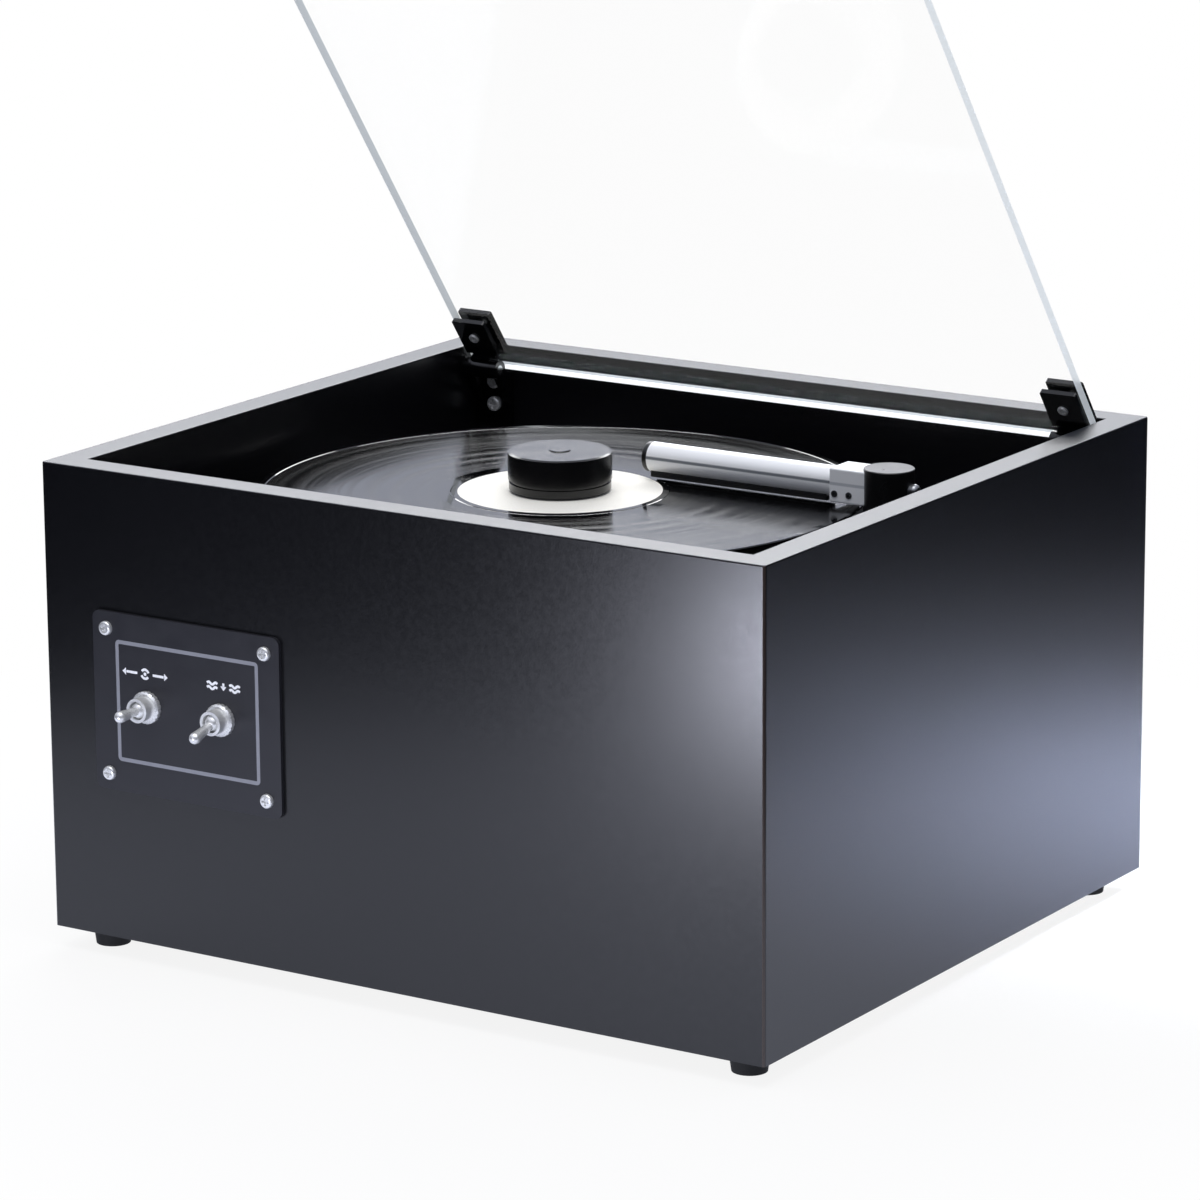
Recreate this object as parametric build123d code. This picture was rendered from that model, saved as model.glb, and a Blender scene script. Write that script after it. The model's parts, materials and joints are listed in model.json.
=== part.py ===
"""Record cleaning machine: cabinet with a record well, hinged clear lid, turning platter and vacuum arm.

Millimetres, +X right, +Y back, +Z up. The origin lies on the floor under the middle of the whole
machine, levers and drain included, with the lid open at rest. Heights inside the cabinet are
given as depths below its rim. Every piece is modelled about the cabinet's own middle and moved
back by CABINET_Y when it is written.
"""
from build123d import *
from math import cos, radians, sin
import os

os.makedirs("parts", exist_ok=True)

# ---------------------------------------------------------------- record and cabinet
RECORD_D = 301.6
RECORD_THICK = 2.0
RECORD_EDGE_BEAD = 3.6
RECORD_GROOVE_DROP = 0.25
RECORD_HOLE_D = 7.2
LABEL_D = 101.0
LABEL_THICK = 0.3
LEFT_GAP = 18.7
RIGHT_GAP = 55.7
FRONT_GAP = 6.2
BACK_GAP = 28.2
BOARD = 16.0
CORNER_ROUND = 1.5
RIM_ROUND = 0.8
BASE_THICK = 14.0
FOOT_HEIGHT = 10.5
FOOT_TOP_D = 20.0
FOOT_BOTTOM_D = 17.0
FOOT_INSET = 20.0
FOOT_RECESS_D = 9.0
FOOT_RECESS_DEPTH = 4.0
BLOCK_SIDE = 25.0
BLOCK_HEIGHT = 60.0

# ---------------------------------------------------------------- platter drive, top to bottom
RECORD_DEPTH = 26.0
MAT_INSET = 4.8
MAT_THICK = 3.0
PLATTER_INSET = 5.8
PLATTER_THICK = 12.0
PLATTER_ROUND = 1.5
HUB_D = 80.0
HUB_FLANGE = 5.0
HUB_BOSS_D = 30.0
HUB_BOSS = 9.0
HUB_GAP = 2.0
SHAFT_D = 12.0
SPINDLE_D = 7.1
SPINDLE_RISE = 13.0
SPINDLE_FLANGE_D = 26.0
SPINDLE_FLANGE = 2.5
DECK_THICK = 6.0
CLEAT = 15.0
HOUSING_FLANGE_D = 64.0
HOUSING_FLANGE = 5.0
HOUSING_BARREL_D = 30.0
HOUSING_BARREL = 30.0
BUSH_D = 18.0
BUSH_LENGTH = 10.0
GEARBOX_GAP = 6.0
GEARBOX_WIDTH = 84.0
GEARBOX_DEPTH = 60.0
GEARBOX_HEIGHT = 36.0
GEARBOX_BORE = 12.0
GEARBOX_ROUND = 4.0
STANDOFF_D = 10.0
STANDOFF_INSET = 6.0
MOTOR_D = 50.0
MOTOR_LENGTH = 56.0
MOTOR_ROUND = 3.0
MOTOR_CLEARANCE = 22.0
TURN_CLEARANCE = 0.05
DECK_HOLE_CLEARANCE = 2.0

# ---------------------------------------------------------------- record clamp
CLAMP_D = 51.4
CLAMP_HEIGHT = 20.5
CLAMP_FOOT_RISE = 0.6
CLAMP_BAND = 4.8
CLAMP_BAND_D = 50.4
CLAMP_WAIST = 1.6
CLAMP_WAIST_D = 48.6
CLAMP_BEVEL = 1.2
CLAMP_BEVEL_DROP = 0.6
CLAMP_DISH = 0.5
CLAMP_BOSS_D = 11.0
CLAMP_PAD_D = 43.0
CLAMP_PAD_THICK = 1.5
CLAMP_INSERT_D = 14.0
CLAMP_INSERT = 14.0
CLAMP_BORE_CLEARANCE = 0.08

# ---------------------------------------------------------------- lid and hinges
LID_THICK = 5.0
LID_SIDE_GAP = 1.5
LID_FRONT_GAP = 1.5
LID_BEHIND_PIVOT = 5.5
LID_ANGLE = 53.6
LID_STOP = 60.0
LID_CORNER = 4.0
PIVOT_WALL_GAP = 12.9
PIVOT_DEPTH = 11.0
HINGE_WIDTH = 20.0
HINGE_SIDE_GAP = 2.0
JAW_THICK = 2.5
JAW_REACH = 31.0
JAW_START = 7.0
JAW_ROUND = 1.0
BAR_START = 2.0
JAW_SCREW_INSET = 11.5
NECK_BEHIND = 2.5
KNUCKLE_WIDTH = 12.0
EAR_R = 5.0
EAR_THICK = 4.0
EAR_GAP = 0.2
HINGE_PIN_D = 5.0
LEAF_THICK = 3.0
LEAF_TOP_DEPTH = 14.0
LEAF_HEIGHT = 28.0
LEAF_SCREW_TOP = 5.5
LEAF_SCREW_PITCH = 12.4
REST_WIDTH = 20.0
REST_SIDE = 8.0
REST_SPACING = 240.0
SEAT_GAP = 0.3

# ---------------------------------------------------------------- control plate and switches
PLATE_WIDTH = 111.0
PLATE_HEIGHT = 89.0
PLATE_THICK = 2.0
PLATE_ROUND = 4.0
PLATE_LEFT = 30.2
PLATE_DROP = 69.0
PLATE_SCREW_INSET = 8.3
CUTOUT_MARGIN = 3.0
SWITCH_SPACING = 44.0
SWITCH_SHIFT = -1.3
SWITCH_WIDTH = 16.0
SWITCH_TALL = 29.0
SWITCH_DEEP = 25.0
SWITCH_FRAME = 2.0
TERMINAL = 6.0
TERMINAL_SIDE = 2.0
TERMINAL_PITCH = 9.0
BUSHING_D = 11.9
BUSHING_REACH = 9.0
BUSHING_BORE_D = 9.0
NUT_D = 16.0
NUT_THICK = 3.0
NUT_CHAMFER = 0.9
NUT_NOTCHES = 20
NUT_NOTCH_D = 1.2
LEVER_LENGTH = 18.3
LEVER_NECK_D = 4.2
LEVER_TIP_D = 5.8
PIVOT_INSET = 3.0
TOGGLE_THROW = 16.0

# ---------------------------------------------------------------- vacuum arm
POST_D = 25.0
POST_GAP = 2.3
POST_ANGLE = 16.85
POST_TOP_DEPTH = 5.5
POST_ROUND = 0.8
SPIGOT_D = 18.0
SPIGOT_BELOW = 4.0
AIR_BORE_D = 10.0
ARM_REACH = 137.4
ARM_DEPTH = 15.5
TUBE_D = 15.0
TUBE_WALL = 1.5
SLOT_WIDTH = 2.0
SLOT_END = 8.0
LIP_GAP = 1.0
LIP_WIDTH = 3.5
LIP_RISE = 5.0
LIP_END = 4.0
PLUG_CAP = 3.0
PLUG_STUB = 6.0
ARM_BLOCK_LENGTH = 16.0
ARM_BLOCK_WIDTH = 18.0
ARM_BLOCK_TALL = 17.0
ARM_BLOCK_ROUND = 1.0
TUBE_IN_BLOCK = 9.0
SET_SCREW_D = 3.4
SET_SCREW_RISE = 4.4
SET_SCREW_SPACING = 8.0
SET_SCREW_PROUD = 0.4
LIFT_TRAVEL = 0.8
BEARING_FLANGE_D = 56.0
BEARING_FLANGE = 4.0
BEARING_BARREL_D = 32.0
BEARING_BELOW_DECK = 41.0
SPRING_WELL = 27.0
COLLAR_THICK = 6.0
COLLAR_CLEARANCE = 0.1
SPRING_WIRE = 1.8
SPRING_ROOM = 4.0
SPRING_TURNS = 5

# ---------------------------------------------------------------- vacuum system and back panel
TANK_WIDTH = 100.0
TANK_DEPTH = 120.0
TANK_WALL = 3.0
TANK_ROUND = 6.0
TANK_SIDE_GAP = 3.0
TANK_BACK_GAP = 33.0
TANK_OVERLAP = 6.0
VACUUM_D = 110.0
VACUUM_HEIGHT = 98.0
VACUUM_ROUND = 8.0
VACUUM_GAP = 18.0
VACUUM_MOTOR_D = 70.0
VACUUM_MOTOR_RISE = 22.0
STUB_D = 22.0
STUB_LENGTH = 14.0
STUB_WALL = 2.0
HOSE_WALL = 3.0
HOSE_END_GAP = 1.0
HOSE_HEIGHT = 70.0
DRAIN_D = 12.0
DRAIN_WALL = 2.0
DRAIN_HEIGHT = 15.0
DRAIN_FROM_RIGHT = 58.0
DRAIN_NUT_D = 24.0
DRAIN_NUT = 3.0
DRAIN_TAIL = 11.0
CAP_D = 22.0
CAP_END = 2.0
CAP_GAP = 0.3
CAP_CLEARANCE = 0.1
CAP_RIBS = 18
CAP_RIB_D = 2.0
GRILLE_SIDE = 70.0
GRILLE_THICK = 3.0
GRILLE_HOLE_D = 46.0
GRILLE_SLOTS = 6
GRILLE_SLOT = 4.0
GRILLE_PITCH = 7.5
GRILLE_SCREW_INSET = 7.0
GRILLE_HEIGHT = 60.0
INLET_WIDTH = 50.0
INLET_TALL = 28.0
INLET_THICK = 3.0
INLET_BODY_WIDTH = 28.0
INLET_BODY_TALL = 21.0
INLET_BODY = 24.0
INLET_WELL_WIDTH = 24.0
INLET_WELL_TALL = 17.0
INLET_WELL = 17.0
INLET_BLADE = (2.0, 4.0, 12.0)
INLET_BLADE_PITCH = 7.0
INLET_SCREW_PITCH = 40.0
INLET_HEIGHT = 30.0
INLET_FROM_LEFT = 210.0

# ---------------------------------------------------------------- fasteners: head d, head h, shank d, length
WOOD_SCREW = (8.0, 2.4, 4.0, 14.0)
FOOT_SCREW = (8.0, 2.4, 4.0, 36.0)
PLATE_SCREW = (7.0, 2.2, 3.5, 12.0)
BACK_SCREW = (6.0, 2.0, 3.0, 10.0)
DECK_SCREW = (6.0, 2.0, 3.0, 12.0)
ARM_BOLT = (7.0, 4.5, 4.0, 6.0)
JAW_SCREW = (5.5, 1.4, 3.0, 9.0)
HEAD_ROUND = 0.55
CROSS_WIDTH = 0.16
CROSS_SPAN = 0.62
CROSS_DEPTH = 0.5

# ---------------------------------------------------------------- worked out from the sizes above
INNER_WIDTH = LEFT_GAP + RECORD_D + RIGHT_GAP
INNER_DEPTH = FRONT_GAP + RECORD_D + BACK_GAP
WIDTH = INNER_WIDTH + 2 * BOARD
DEPTH = INNER_DEPTH + 2 * BOARD
RIGHT_IN = INNER_WIDTH / 2
BACK_IN = INNER_DEPTH / 2
FRONT = -DEPTH / 2
BACK = DEPTH / 2
RECORD_X = -RIGHT_IN + LEFT_GAP + RECORD_D / 2
RECORD_Y = -BACK_IN + FRONT_GAP + RECORD_D / 2
MAT_D = RECORD_D - 2 * MAT_INSET
PLATTER_D = RECORD_D - 2 * PLATTER_INSET

MAT_DEPTH = RECORD_DEPTH + RECORD_THICK
PLATTER_DEPTH = MAT_DEPTH + MAT_THICK
HUB_DEPTH = PLATTER_DEPTH + PLATTER_THICK
BOSS_DEPTH = HUB_DEPTH + HUB_FLANGE
DECK_DEPTH = BOSS_DEPTH + HUB_BOSS + HUB_GAP
HOUSING_DEPTH = DECK_DEPTH + DECK_THICK
HOUSING_END = HOUSING_DEPTH + HOUSING_FLANGE + HOUSING_BARREL
GEARBOX_TOP = HOUSING_END + GEARBOX_GAP
MOTOR_TOP = GEARBOX_TOP + GEARBOX_HEIGHT
BASE_DEPTH = MOTOR_TOP + MOTOR_LENGTH + MOTOR_CLEARANCE
HEIGHT = BASE_DEPTH + BASE_THICK
RIM = FOOT_HEIGHT + HEIGHT

PIVOT_Y = BACK_IN - PIVOT_WALL_GAP
PIVOT_Z = RIM - PIVOT_DEPTH
LID_WIDTH = INNER_WIDTH - 2 * LID_SIDE_GAP
HINGE_X = RIGHT_IN - HINGE_SIDE_GAP - HINGE_WIDTH / 2
KNUCKLE_HALF = KNUCKLE_WIDTH / 2
EAR_INNER = KNUCKLE_HALF + EAR_GAP
EAR_OUTER = EAR_INNER + EAR_THICK

PLATE_X = -WIDTH / 2 + PLATE_LEFT + PLATE_WIDTH / 2
PLATE_Z = RIM - PLATE_DROP - PLATE_HEIGHT / 2
SWITCH_MIDDLE = PLATE_X + SWITCH_SHIFT
SWITCH_XS = (SWITCH_MIDDLE - SWITCH_SPACING / 2, SWITCH_MIDDLE + SWITCH_SPACING / 2)
BUSHING_FRONT = FRONT - PLATE_THICK - BUSHING_REACH
TOGGLE_Y = BUSHING_FRONT + PIVOT_INSET

POST_FROM_SPINDLE = RECORD_D / 2 + POST_GAP + POST_D / 2
POST_X = RECORD_X + POST_FROM_SPINDLE * cos(radians(POST_ANGLE))
POST_Y = RECORD_Y + POST_FROM_SPINDLE * sin(radians(POST_ANGLE))
TUBE_Z = RIM - ARM_DEPTH
TIP_X = POST_X - ARM_REACH
BLOCK_X = POST_X - POST_D / 2 - ARM_BLOCK_LENGTH
SET_SCREW_LENGTH = (ARM_BLOCK_WIDTH - TUBE_D) / 2 + SET_SCREW_PROUD + SEAT_GAP
LIP_BOTTOM = RIM - RECORD_DEPTH + LIP_GAP
BEARING_TOP = RIM - DECK_DEPTH + BEARING_FLANGE
BEARING_END = RIM - HOUSING_DEPTH - BEARING_BELOW_DECK
COLLAR_TOP = BEARING_TOP + LIFT_TRAVEL + SEAT_GAP
SPRING_TOP = COLLAR_TOP - COLLAR_THICK
SPRING_BOTTOM = BEARING_TOP - SPRING_WELL

FLOOR_IN = RIM - BASE_DEPTH
TANK_TOP = BEARING_END + TANK_OVERLAP
TANK_RIGHT = RIGHT_IN - TANK_SIDE_GAP
TANK_LEFT = TANK_RIGHT - TANK_WIDTH
TANK_BACK = BACK_IN - TANK_BACK_GAP
TANK_FRONT = TANK_BACK - TANK_DEPTH
VACUUM_X = -RIGHT_IN + VACUUM_GAP + VACUUM_D / 2
VACUUM_Y = BACK_IN - VACUUM_GAP - VACUUM_D / 2
HOSE_Z = FLOOR_IN + HOSE_HEIGHT
DRAIN_X = WIDTH / 2 - BOARD - DRAIN_FROM_RIGHT
DRAIN_Z = FLOOR_IN + DRAIN_HEIGHT
DRAIN_FACE = BACK + DRAIN_NUT
DRAIN_END = DRAIN_FACE + CAP_GAP + DRAIN_TAIL
CAP_FACE = DRAIN_END + CAP_GAP + CAP_END
GRILLE_Z = FLOOR_IN + GRILLE_HEIGHT
INLET_X = -WIDTH / 2 + INLET_FROM_LEFT
INLET_Z = FLOOR_IN + INLET_HEIGHT

FRONT_REACH = FRONT - (TOGGLE_Y - LEVER_LENGTH)
BACK_REACH = CAP_FACE - BACK
CABINET_Y = (FRONT_REACH - BACK_REACH) / 2

HEAD_FRONT = Rot(90, 0, 0)
HEAD_BACK = Rot(-90, 0, 0)
HEAD_DOWN = Rot(180, 0, 0)
HEAD_RIGHT = Rot(0, 90, 0)
UPRIGHT = Rot(0, 0, 0)
LOW = (Align.CENTER, Align.CENTER, Align.MIN)


# ---------------------------------------------------------------- helpers
def block(x0, x1, y0, y1, z0, z1):
    """A box between two opposite corners."""
    return Pos((x0 + x1) / 2, (y0 + y1) / 2, (z0 + z1) / 2) * Box(x1 - x0, y1 - y0, z1 - z0)


def rod_z(x, y, z0, z1, diameter):
    """An upright cylinder."""
    return Pos(x, y, z0) * Cylinder(diameter / 2, z1 - z0, align=LOW)


def rod_y(x, z, y0, y1, diameter):
    """A cylinder that runs front to back."""
    return Pos(x, y0, z) * Rot(-90, 0, 0) * Cylinder(diameter / 2, y1 - y0, align=LOW)


def rod_x(y, z, x0, x1, diameter):
    """A cylinder that runs left to right."""
    return Pos(x0, y, z) * Rot(0, 90, 0) * Cylinder(diameter / 2, x1 - x0, align=LOW)


def turned(x, y, profile):
    """A turned piece about an upright axis, from (radius, height) points."""
    face = make_face(Plane.XZ * Polyline(*profile, close=True))
    return Pos(x, y, 0) * revolve(face, Axis.Z)


def prism(points, plane, depth):
    """A closed outline pushed out along its plane's normal."""
    return extrude(make_face(plane * Polyline(*points, close=True)), depth, dir=plane.z_dir)


def screw(size):
    """A pan-head screw with a cross recess: head above the origin, shank below."""
    head_d, head_h, shank_d, length = size
    head = Cylinder(head_d / 2, head_h, align=LOW)
    head = fillet(head.edges().filter_by(GeomType.CIRCLE).sort_by(Axis.Z)[-1], head_h * HEAD_ROUND)
    shank = Pos(0, 0, -length) * Cylinder(shank_d / 2, length, align=LOW)
    shank = chamfer(shank.edges().filter_by(GeomType.CIRCLE).sort_by(Axis.Z)[0], shank_d / 4)
    deep = head_h * CROSS_DEPTH
    arm = Pos(0, 0, head_h - deep) * Box(head_d * CROSS_SPAN, head_d * CROSS_WIDTH, head_h, align=LOW)
    return head + shank - arm - Rot(0, 0, 90) * arm


def placed_screws(size, facing, points):
    """The same screw at each point, with its head turned one way."""
    one = screw(size)
    return Compound([(Pos(*p) * facing * one).solid() for p in points])


def drilled(body, size, facing, points):
    """A body with the holes that these screws' shanks fill."""
    hole = Pos(0, 0, -size[3]) * Cylinder(size[2] / 2, size[3] * 2, align=LOW)
    for p in points:
        body = body - Pos(*p) * facing * hole
    return body


def opened(body):
    """Turn a piece of the closed lid about the hinge line to the rest angle."""
    return Pos(0, PIVOT_Y, PIVOT_Z) * Rot(-LID_ANGLE, 0, 0) * Pos(0, -PIVOT_Y, -PIVOT_Z) * body


def four_corners(x, y, z):
    """The four points at plus and minus x and y."""
    return [(sx * x, sy * y, z) for sx in (-1, 1) for sy in (-1, 1)]


# ---------------------------------------------------------------- cabinet
def deck_screw_points():
    """Screws along all four edges of the deck, over the cleats."""
    x = RIGHT_IN - CLEAT / 2
    y = BACK_IN - CLEAT / 2
    z = RIM - DECK_DEPTH
    return four_corners(x, y, z) + [(-x, 0, z), (x, 0, z), (RECORD_X, -y, z), (RECORD_X, y, z)]


def foot_points():
    """The seat of each foot's screw, inside the foot's recess."""
    return four_corners(WIDTH / 2 - FOOT_INSET, DEPTH / 2 - FOOT_INSET, FOOT_RECESS_DEPTH)


def plate_screw_points():
    """The control plate's corner screws."""
    dx = PLATE_WIDTH / 2 - PLATE_SCREW_INSET
    dz = PLATE_HEIGHT / 2 - PLATE_SCREW_INSET
    y = FRONT - PLATE_THICK
    return [(PLATE_X + sx * dx, y, PLATE_Z + sz * dz) for sx in (-1, 1) for sz in (-1, 1)]


def hinge_screw_points():
    """Two screws, one above the other, in each fixed hinge half."""
    top = RIM - LEAF_TOP_DEPTH - LEAF_SCREW_TOP
    y = BACK_IN - LEAF_THICK
    return [(s * HINGE_X, y, top - n * LEAF_SCREW_PITCH) for s in (-1, 1) for n in (0, 1)]


def jaw_screw_points():
    """One screw through each hinge jaw, with the lid closed."""
    y = PIVOT_Y - JAW_REACH + JAW_SCREW_INSET
    return [(s * HINGE_X, y, RIM - LID_THICK - JAW_THICK) for s in (-1, 1)]


def back_screw_points():
    """The grille's four screws and the inlet's two, each on the face that it holds."""
    d = GRILLE_SIDE / 2 - GRILLE_SCREW_INSET
    points = [(VACUUM_X + sx * d, BACK + GRILLE_THICK, GRILLE_Z + sz * d) for sx in (-1, 1) for sz in (-1, 1)]
    half = INLET_SCREW_PITCH / 2
    return points + [(INLET_X + s * half, BACK + INLET_THICK, INLET_Z) for s in (-1, 1)]


def cabinet_walls():
    """The four walls as one ring, with eased corners and rim."""
    ring = block(-WIDTH / 2, WIDTH / 2, FRONT, BACK, FOOT_HEIGHT, RIM)
    ring = fillet(ring.edges().filter_by(Axis.Z), CORNER_ROUND)
    ring = ring - block(-RIGHT_IN, RIGHT_IN, -BACK_IN, BACK_IN, 0, RIM + BOARD)
    rim_edges = ring.faces().sort_by(Axis.Z)[-1].edges()
    return fillet(rim_edges, RIM_ROUND)


def mitred(ring, angle, half_length, half_other):
    """The board of the ring that lies at one side, cut at 45 degrees at both ends."""
    reach = 1.5 * BOARD
    points = [
        (-half_length, -half_other),
        (half_length, -half_other),
        (half_length - reach, -half_other + reach),
        (-half_length + reach, -half_other + reach),
    ]
    wedge = Rot(0, 0, angle) * prism(points, Plane.XY, RIM + BOARD)
    return ring & wedge


def front_panel(ring):
    """Front board, with a cut-out for each switch behind the control plate."""
    board = mitred(ring, 0, WIDTH / 2, DEPTH / 2)
    half_w = SWITCH_WIDTH / 2 + CUTOUT_MARGIN
    half_t = SWITCH_TALL / 2 + CUTOUT_MARGIN
    for x in SWITCH_XS:
        cut = block(x - half_w, x + half_w, FRONT - 1, 1 - BACK_IN, PLATE_Z - half_t, PLATE_Z + half_t)
        board = board - cut
    return drilled(board, PLATE_SCREW, HEAD_FRONT, plate_screw_points())


def back_panel(ring):
    """Back board, with the vent hole, the inlet cut-out and the drain hole."""
    board = mitred(ring, 180, WIDTH / 2, DEPTH / 2)
    board = board - rod_y(VACUUM_X, GRILLE_Z, BACK_IN - 1, BACK + 1, GRILLE_HOLE_D)
    board = board - rod_y(DRAIN_X, DRAIN_Z, BACK_IN - 1, BACK + 1, DRAIN_D)
    half_w = INLET_BODY_WIDTH / 2
    half_t = INLET_BODY_TALL / 2
    board = board - block(
        INLET_X - half_w, INLET_X + half_w, BACK_IN - 1, BACK + 1, INLET_Z - half_t, INLET_Z + half_t
    )
    board = drilled(board, WOOD_SCREW, HEAD_FRONT, hinge_screw_points())
    return drilled(board, BACK_SCREW, HEAD_BACK, back_screw_points())


def base_panel():
    """Bottom board between the walls."""
    board = block(-RIGHT_IN, RIGHT_IN, -BACK_IN, BACK_IN, FOOT_HEIGHT, FLOOR_IN)
    return drilled(board, FOOT_SCREW, HEAD_DOWN, foot_points())


def corner_blocks():
    """Four wooden blocks glued in the cabinet's lower corners."""
    body = []
    for x, y, _ in four_corners(RIGHT_IN - BLOCK_SIDE / 2, BACK_IN - BLOCK_SIDE / 2, 0):
        half = BLOCK_SIDE / 2
        one = block(x - half, x + half, y - half, y + half, FLOOR_IN, FLOOR_IN + BLOCK_HEIGHT)
        body.append(drilled(one, FOOT_SCREW, HEAD_DOWN, foot_points()).solid())
    return Compound(body)


def rubber_feet():
    """Four tapered feet, each with a recess for its screw."""
    body = []
    for x, y, _ in foot_points():
        foot = turned(x, y, [(0, 0), (FOOT_BOTTOM_D / 2, 0), (FOOT_TOP_D / 2, FOOT_HEIGHT), (0, FOOT_HEIGHT)])
        foot = foot - rod_z(x, y, -1, FOOT_RECESS_DEPTH, FOOT_RECESS_D)
        foot = foot - rod_z(x, y, 0, FOOT_HEIGHT + 1, FOOT_SCREW[2])
        body.append(foot.solid())
    return Compound(body)


def deck_plate():
    """Floor of the record well, with holes for the platter's shaft and the arm's bearing."""
    top = RIM - DECK_DEPTH
    plate = block(-RIGHT_IN, RIGHT_IN, -BACK_IN, BACK_IN, top - DECK_THICK, top)
    shaft_hole = SHAFT_D + 2 * DECK_HOLE_CLEARANCE
    plate = plate - rod_z(RECORD_X, RECORD_Y, top - 2 * DECK_THICK, top + 1, shaft_hole)
    plate = plate - rod_z(POST_X, POST_Y, top - 2 * DECK_THICK, top + 1, BEARING_BARREL_D)
    return drilled(plate, DECK_SCREW, UPRIGHT, deck_screw_points())


def deck_cleats():
    """Battens on the walls that carry the deck."""
    top = RIM - HOUSING_DEPTH
    body = []
    for s in (-1, 1):
        y = s * (BACK_IN - CLEAT / 2)
        body.append(block(-RIGHT_IN, RIGHT_IN, y - CLEAT / 2, y + CLEAT / 2, top - CLEAT, top))
        x = s * (RIGHT_IN - CLEAT / 2)
        side = BACK_IN - CLEAT
        body.append(block(x - CLEAT / 2, x + CLEAT / 2, -side, side, top - CLEAT, top))
    return Compound([drilled(b, DECK_SCREW, UPRIGHT, deck_screw_points()).solid() for b in body])


def lid_rests():
    """Two small blocks behind the front wall that the closed lid comes down on."""
    top = RIM - LID_THICK - SEAT_GAP
    body = []
    for s in (-1, 1):
        x = s * REST_SPACING / 2
        half = REST_WIDTH / 2
        one = block(x - half, x + half, -BACK_IN, -BACK_IN + REST_SIDE, top - REST_SIDE, top)
        body.append(one.solid())
    return Compound(body)


# ---------------------------------------------------------------- lid and hinges
def lid_sheet():
    """Clear sheet with rounded front corners, drawn closed and turned open."""
    y0 = -BACK_IN + LID_FRONT_GAP
    y1 = PIVOT_Y + LID_BEHIND_PIVOT
    sheet = block(-LID_WIDTH / 2, LID_WIDTH / 2, y0, y1, RIM - LID_THICK, RIM)
    front = sheet.edges().filter_by(Axis.Z).sort_by(Axis.Y)[:2]
    return opened(drilled(fillet(front, LID_CORNER), JAW_SCREW, HEAD_DOWN, jaw_screw_points()))


def hinge_clamp(side):
    """Moving hinge half under the sheet: knuckle, neck and jaw, with the clamping screw's hole."""
    x = side * HINGE_X
    under = RIM - LID_THICK
    half = HINGE_WIDTH / 2
    jaw = block(x - half, x + half, PIVOT_Y - JAW_REACH, PIVOT_Y - JAW_START, under - JAW_THICK, under)
    jaw = fillet(jaw.edges().filter_by(Axis.Z).sort_by(Axis.Y)[:2], JAW_ROUND)
    knuckle = rod_x(PIVOT_Y, PIVOT_Z, x - KNUCKLE_HALF, x + KNUCKLE_HALF, 2 * EAR_R)
    neck = block(
        x - KNUCKLE_HALF, x + KNUCKLE_HALF, PIVOT_Y - JAW_START, PIVOT_Y + NECK_BEHIND, PIVOT_Z, under
    )
    body = drilled(jaw + knuckle + neck, JAW_SCREW, HEAD_DOWN, jaw_screw_points())
    hole = HINGE_PIN_D + 2 * TURN_CLEARANCE
    return opened(body - rod_x(PIVOT_Y, PIVOT_Z, x - HINGE_WIDTH, x + HINGE_WIDTH, hole))


def hinge_bars():
    """A flat bar on the sheet over each jaw, which the jaw's screw pulls tight."""
    body = []
    for s in (-1, 1):
        x = s * HINGE_X
        half = HINGE_WIDTH / 2
        bar = block(x - half, x + half, PIVOT_Y - JAW_REACH, PIVOT_Y - BAR_START, RIM, RIM + JAW_THICK)
        bar = fillet(bar.edges().filter_by(Axis.Z).sort_by(Axis.Y)[:2], JAW_ROUND)
        body.append(opened(drilled(bar, JAW_SCREW, HEAD_DOWN, jaw_screw_points())).solid())
    return Compound(body)


def hinge_base(side):
    """Fixed half on the back wall: a leaf with two ears for the pin."""
    x = side * HINGE_X
    top = RIM - LEAF_TOP_DEPTH
    wall = BACK_IN - LEAF_THICK
    leaf = block(x - EAR_OUTER, x + EAR_OUTER, wall, BACK_IN, top - LEAF_HEIGHT, top)
    outline = [
        (PIVOT_Y - EAR_R, PIVOT_Z),
        (PIVOT_Y, PIVOT_Z),
        (wall, top),
        (wall, top - LEAF_HEIGHT * 0.6),
        (PIVOT_Y, PIVOT_Z - EAR_R),
    ]
    body = leaf
    for start in (x - EAR_OUTER, x + EAR_INNER):
        web = Pos(start, 0, 0) * prism(outline, Plane.YZ, EAR_THICK)
        body = body + web + rod_x(PIVOT_Y, PIVOT_Z, start, start + EAR_THICK, 2 * EAR_R)
    body = body - rod_x(PIVOT_Y, PIVOT_Z, x - EAR_OUTER - 1, x + EAR_OUTER + 1, HINGE_PIN_D)
    return drilled(body, WOOD_SCREW, HEAD_FRONT, hinge_screw_points())


def hinge_pins():
    """A steel pin through each hinge."""
    pins = [rod_x(PIVOT_Y, PIVOT_Z, s * HINGE_X - EAR_OUTER, s * HINGE_X + EAR_OUTER, HINGE_PIN_D) for s in (-1, 1)]
    return Compound([p.solid() for p in pins])


# ---------------------------------------------------------------- control plate and switches
def control_plate():
    """Flat plate on the front with four screw holes and two switch holes."""
    plate = block(
        PLATE_X - PLATE_WIDTH / 2,
        PLATE_X + PLATE_WIDTH / 2,
        FRONT - PLATE_THICK,
        FRONT,
        PLATE_Z - PLATE_HEIGHT / 2,
        PLATE_Z + PLATE_HEIGHT / 2,
    )
    plate = fillet(plate.edges().filter_by(Axis.Y), PLATE_ROUND)
    for x in SWITCH_XS:
        plate = plate - rod_y(x, PLATE_Z, FRONT - 2 * PLATE_THICK, FRONT + 1, BUSHING_D)
    return drilled(plate, PLATE_SCREW, HEAD_FRONT, plate_screw_points())


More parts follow.
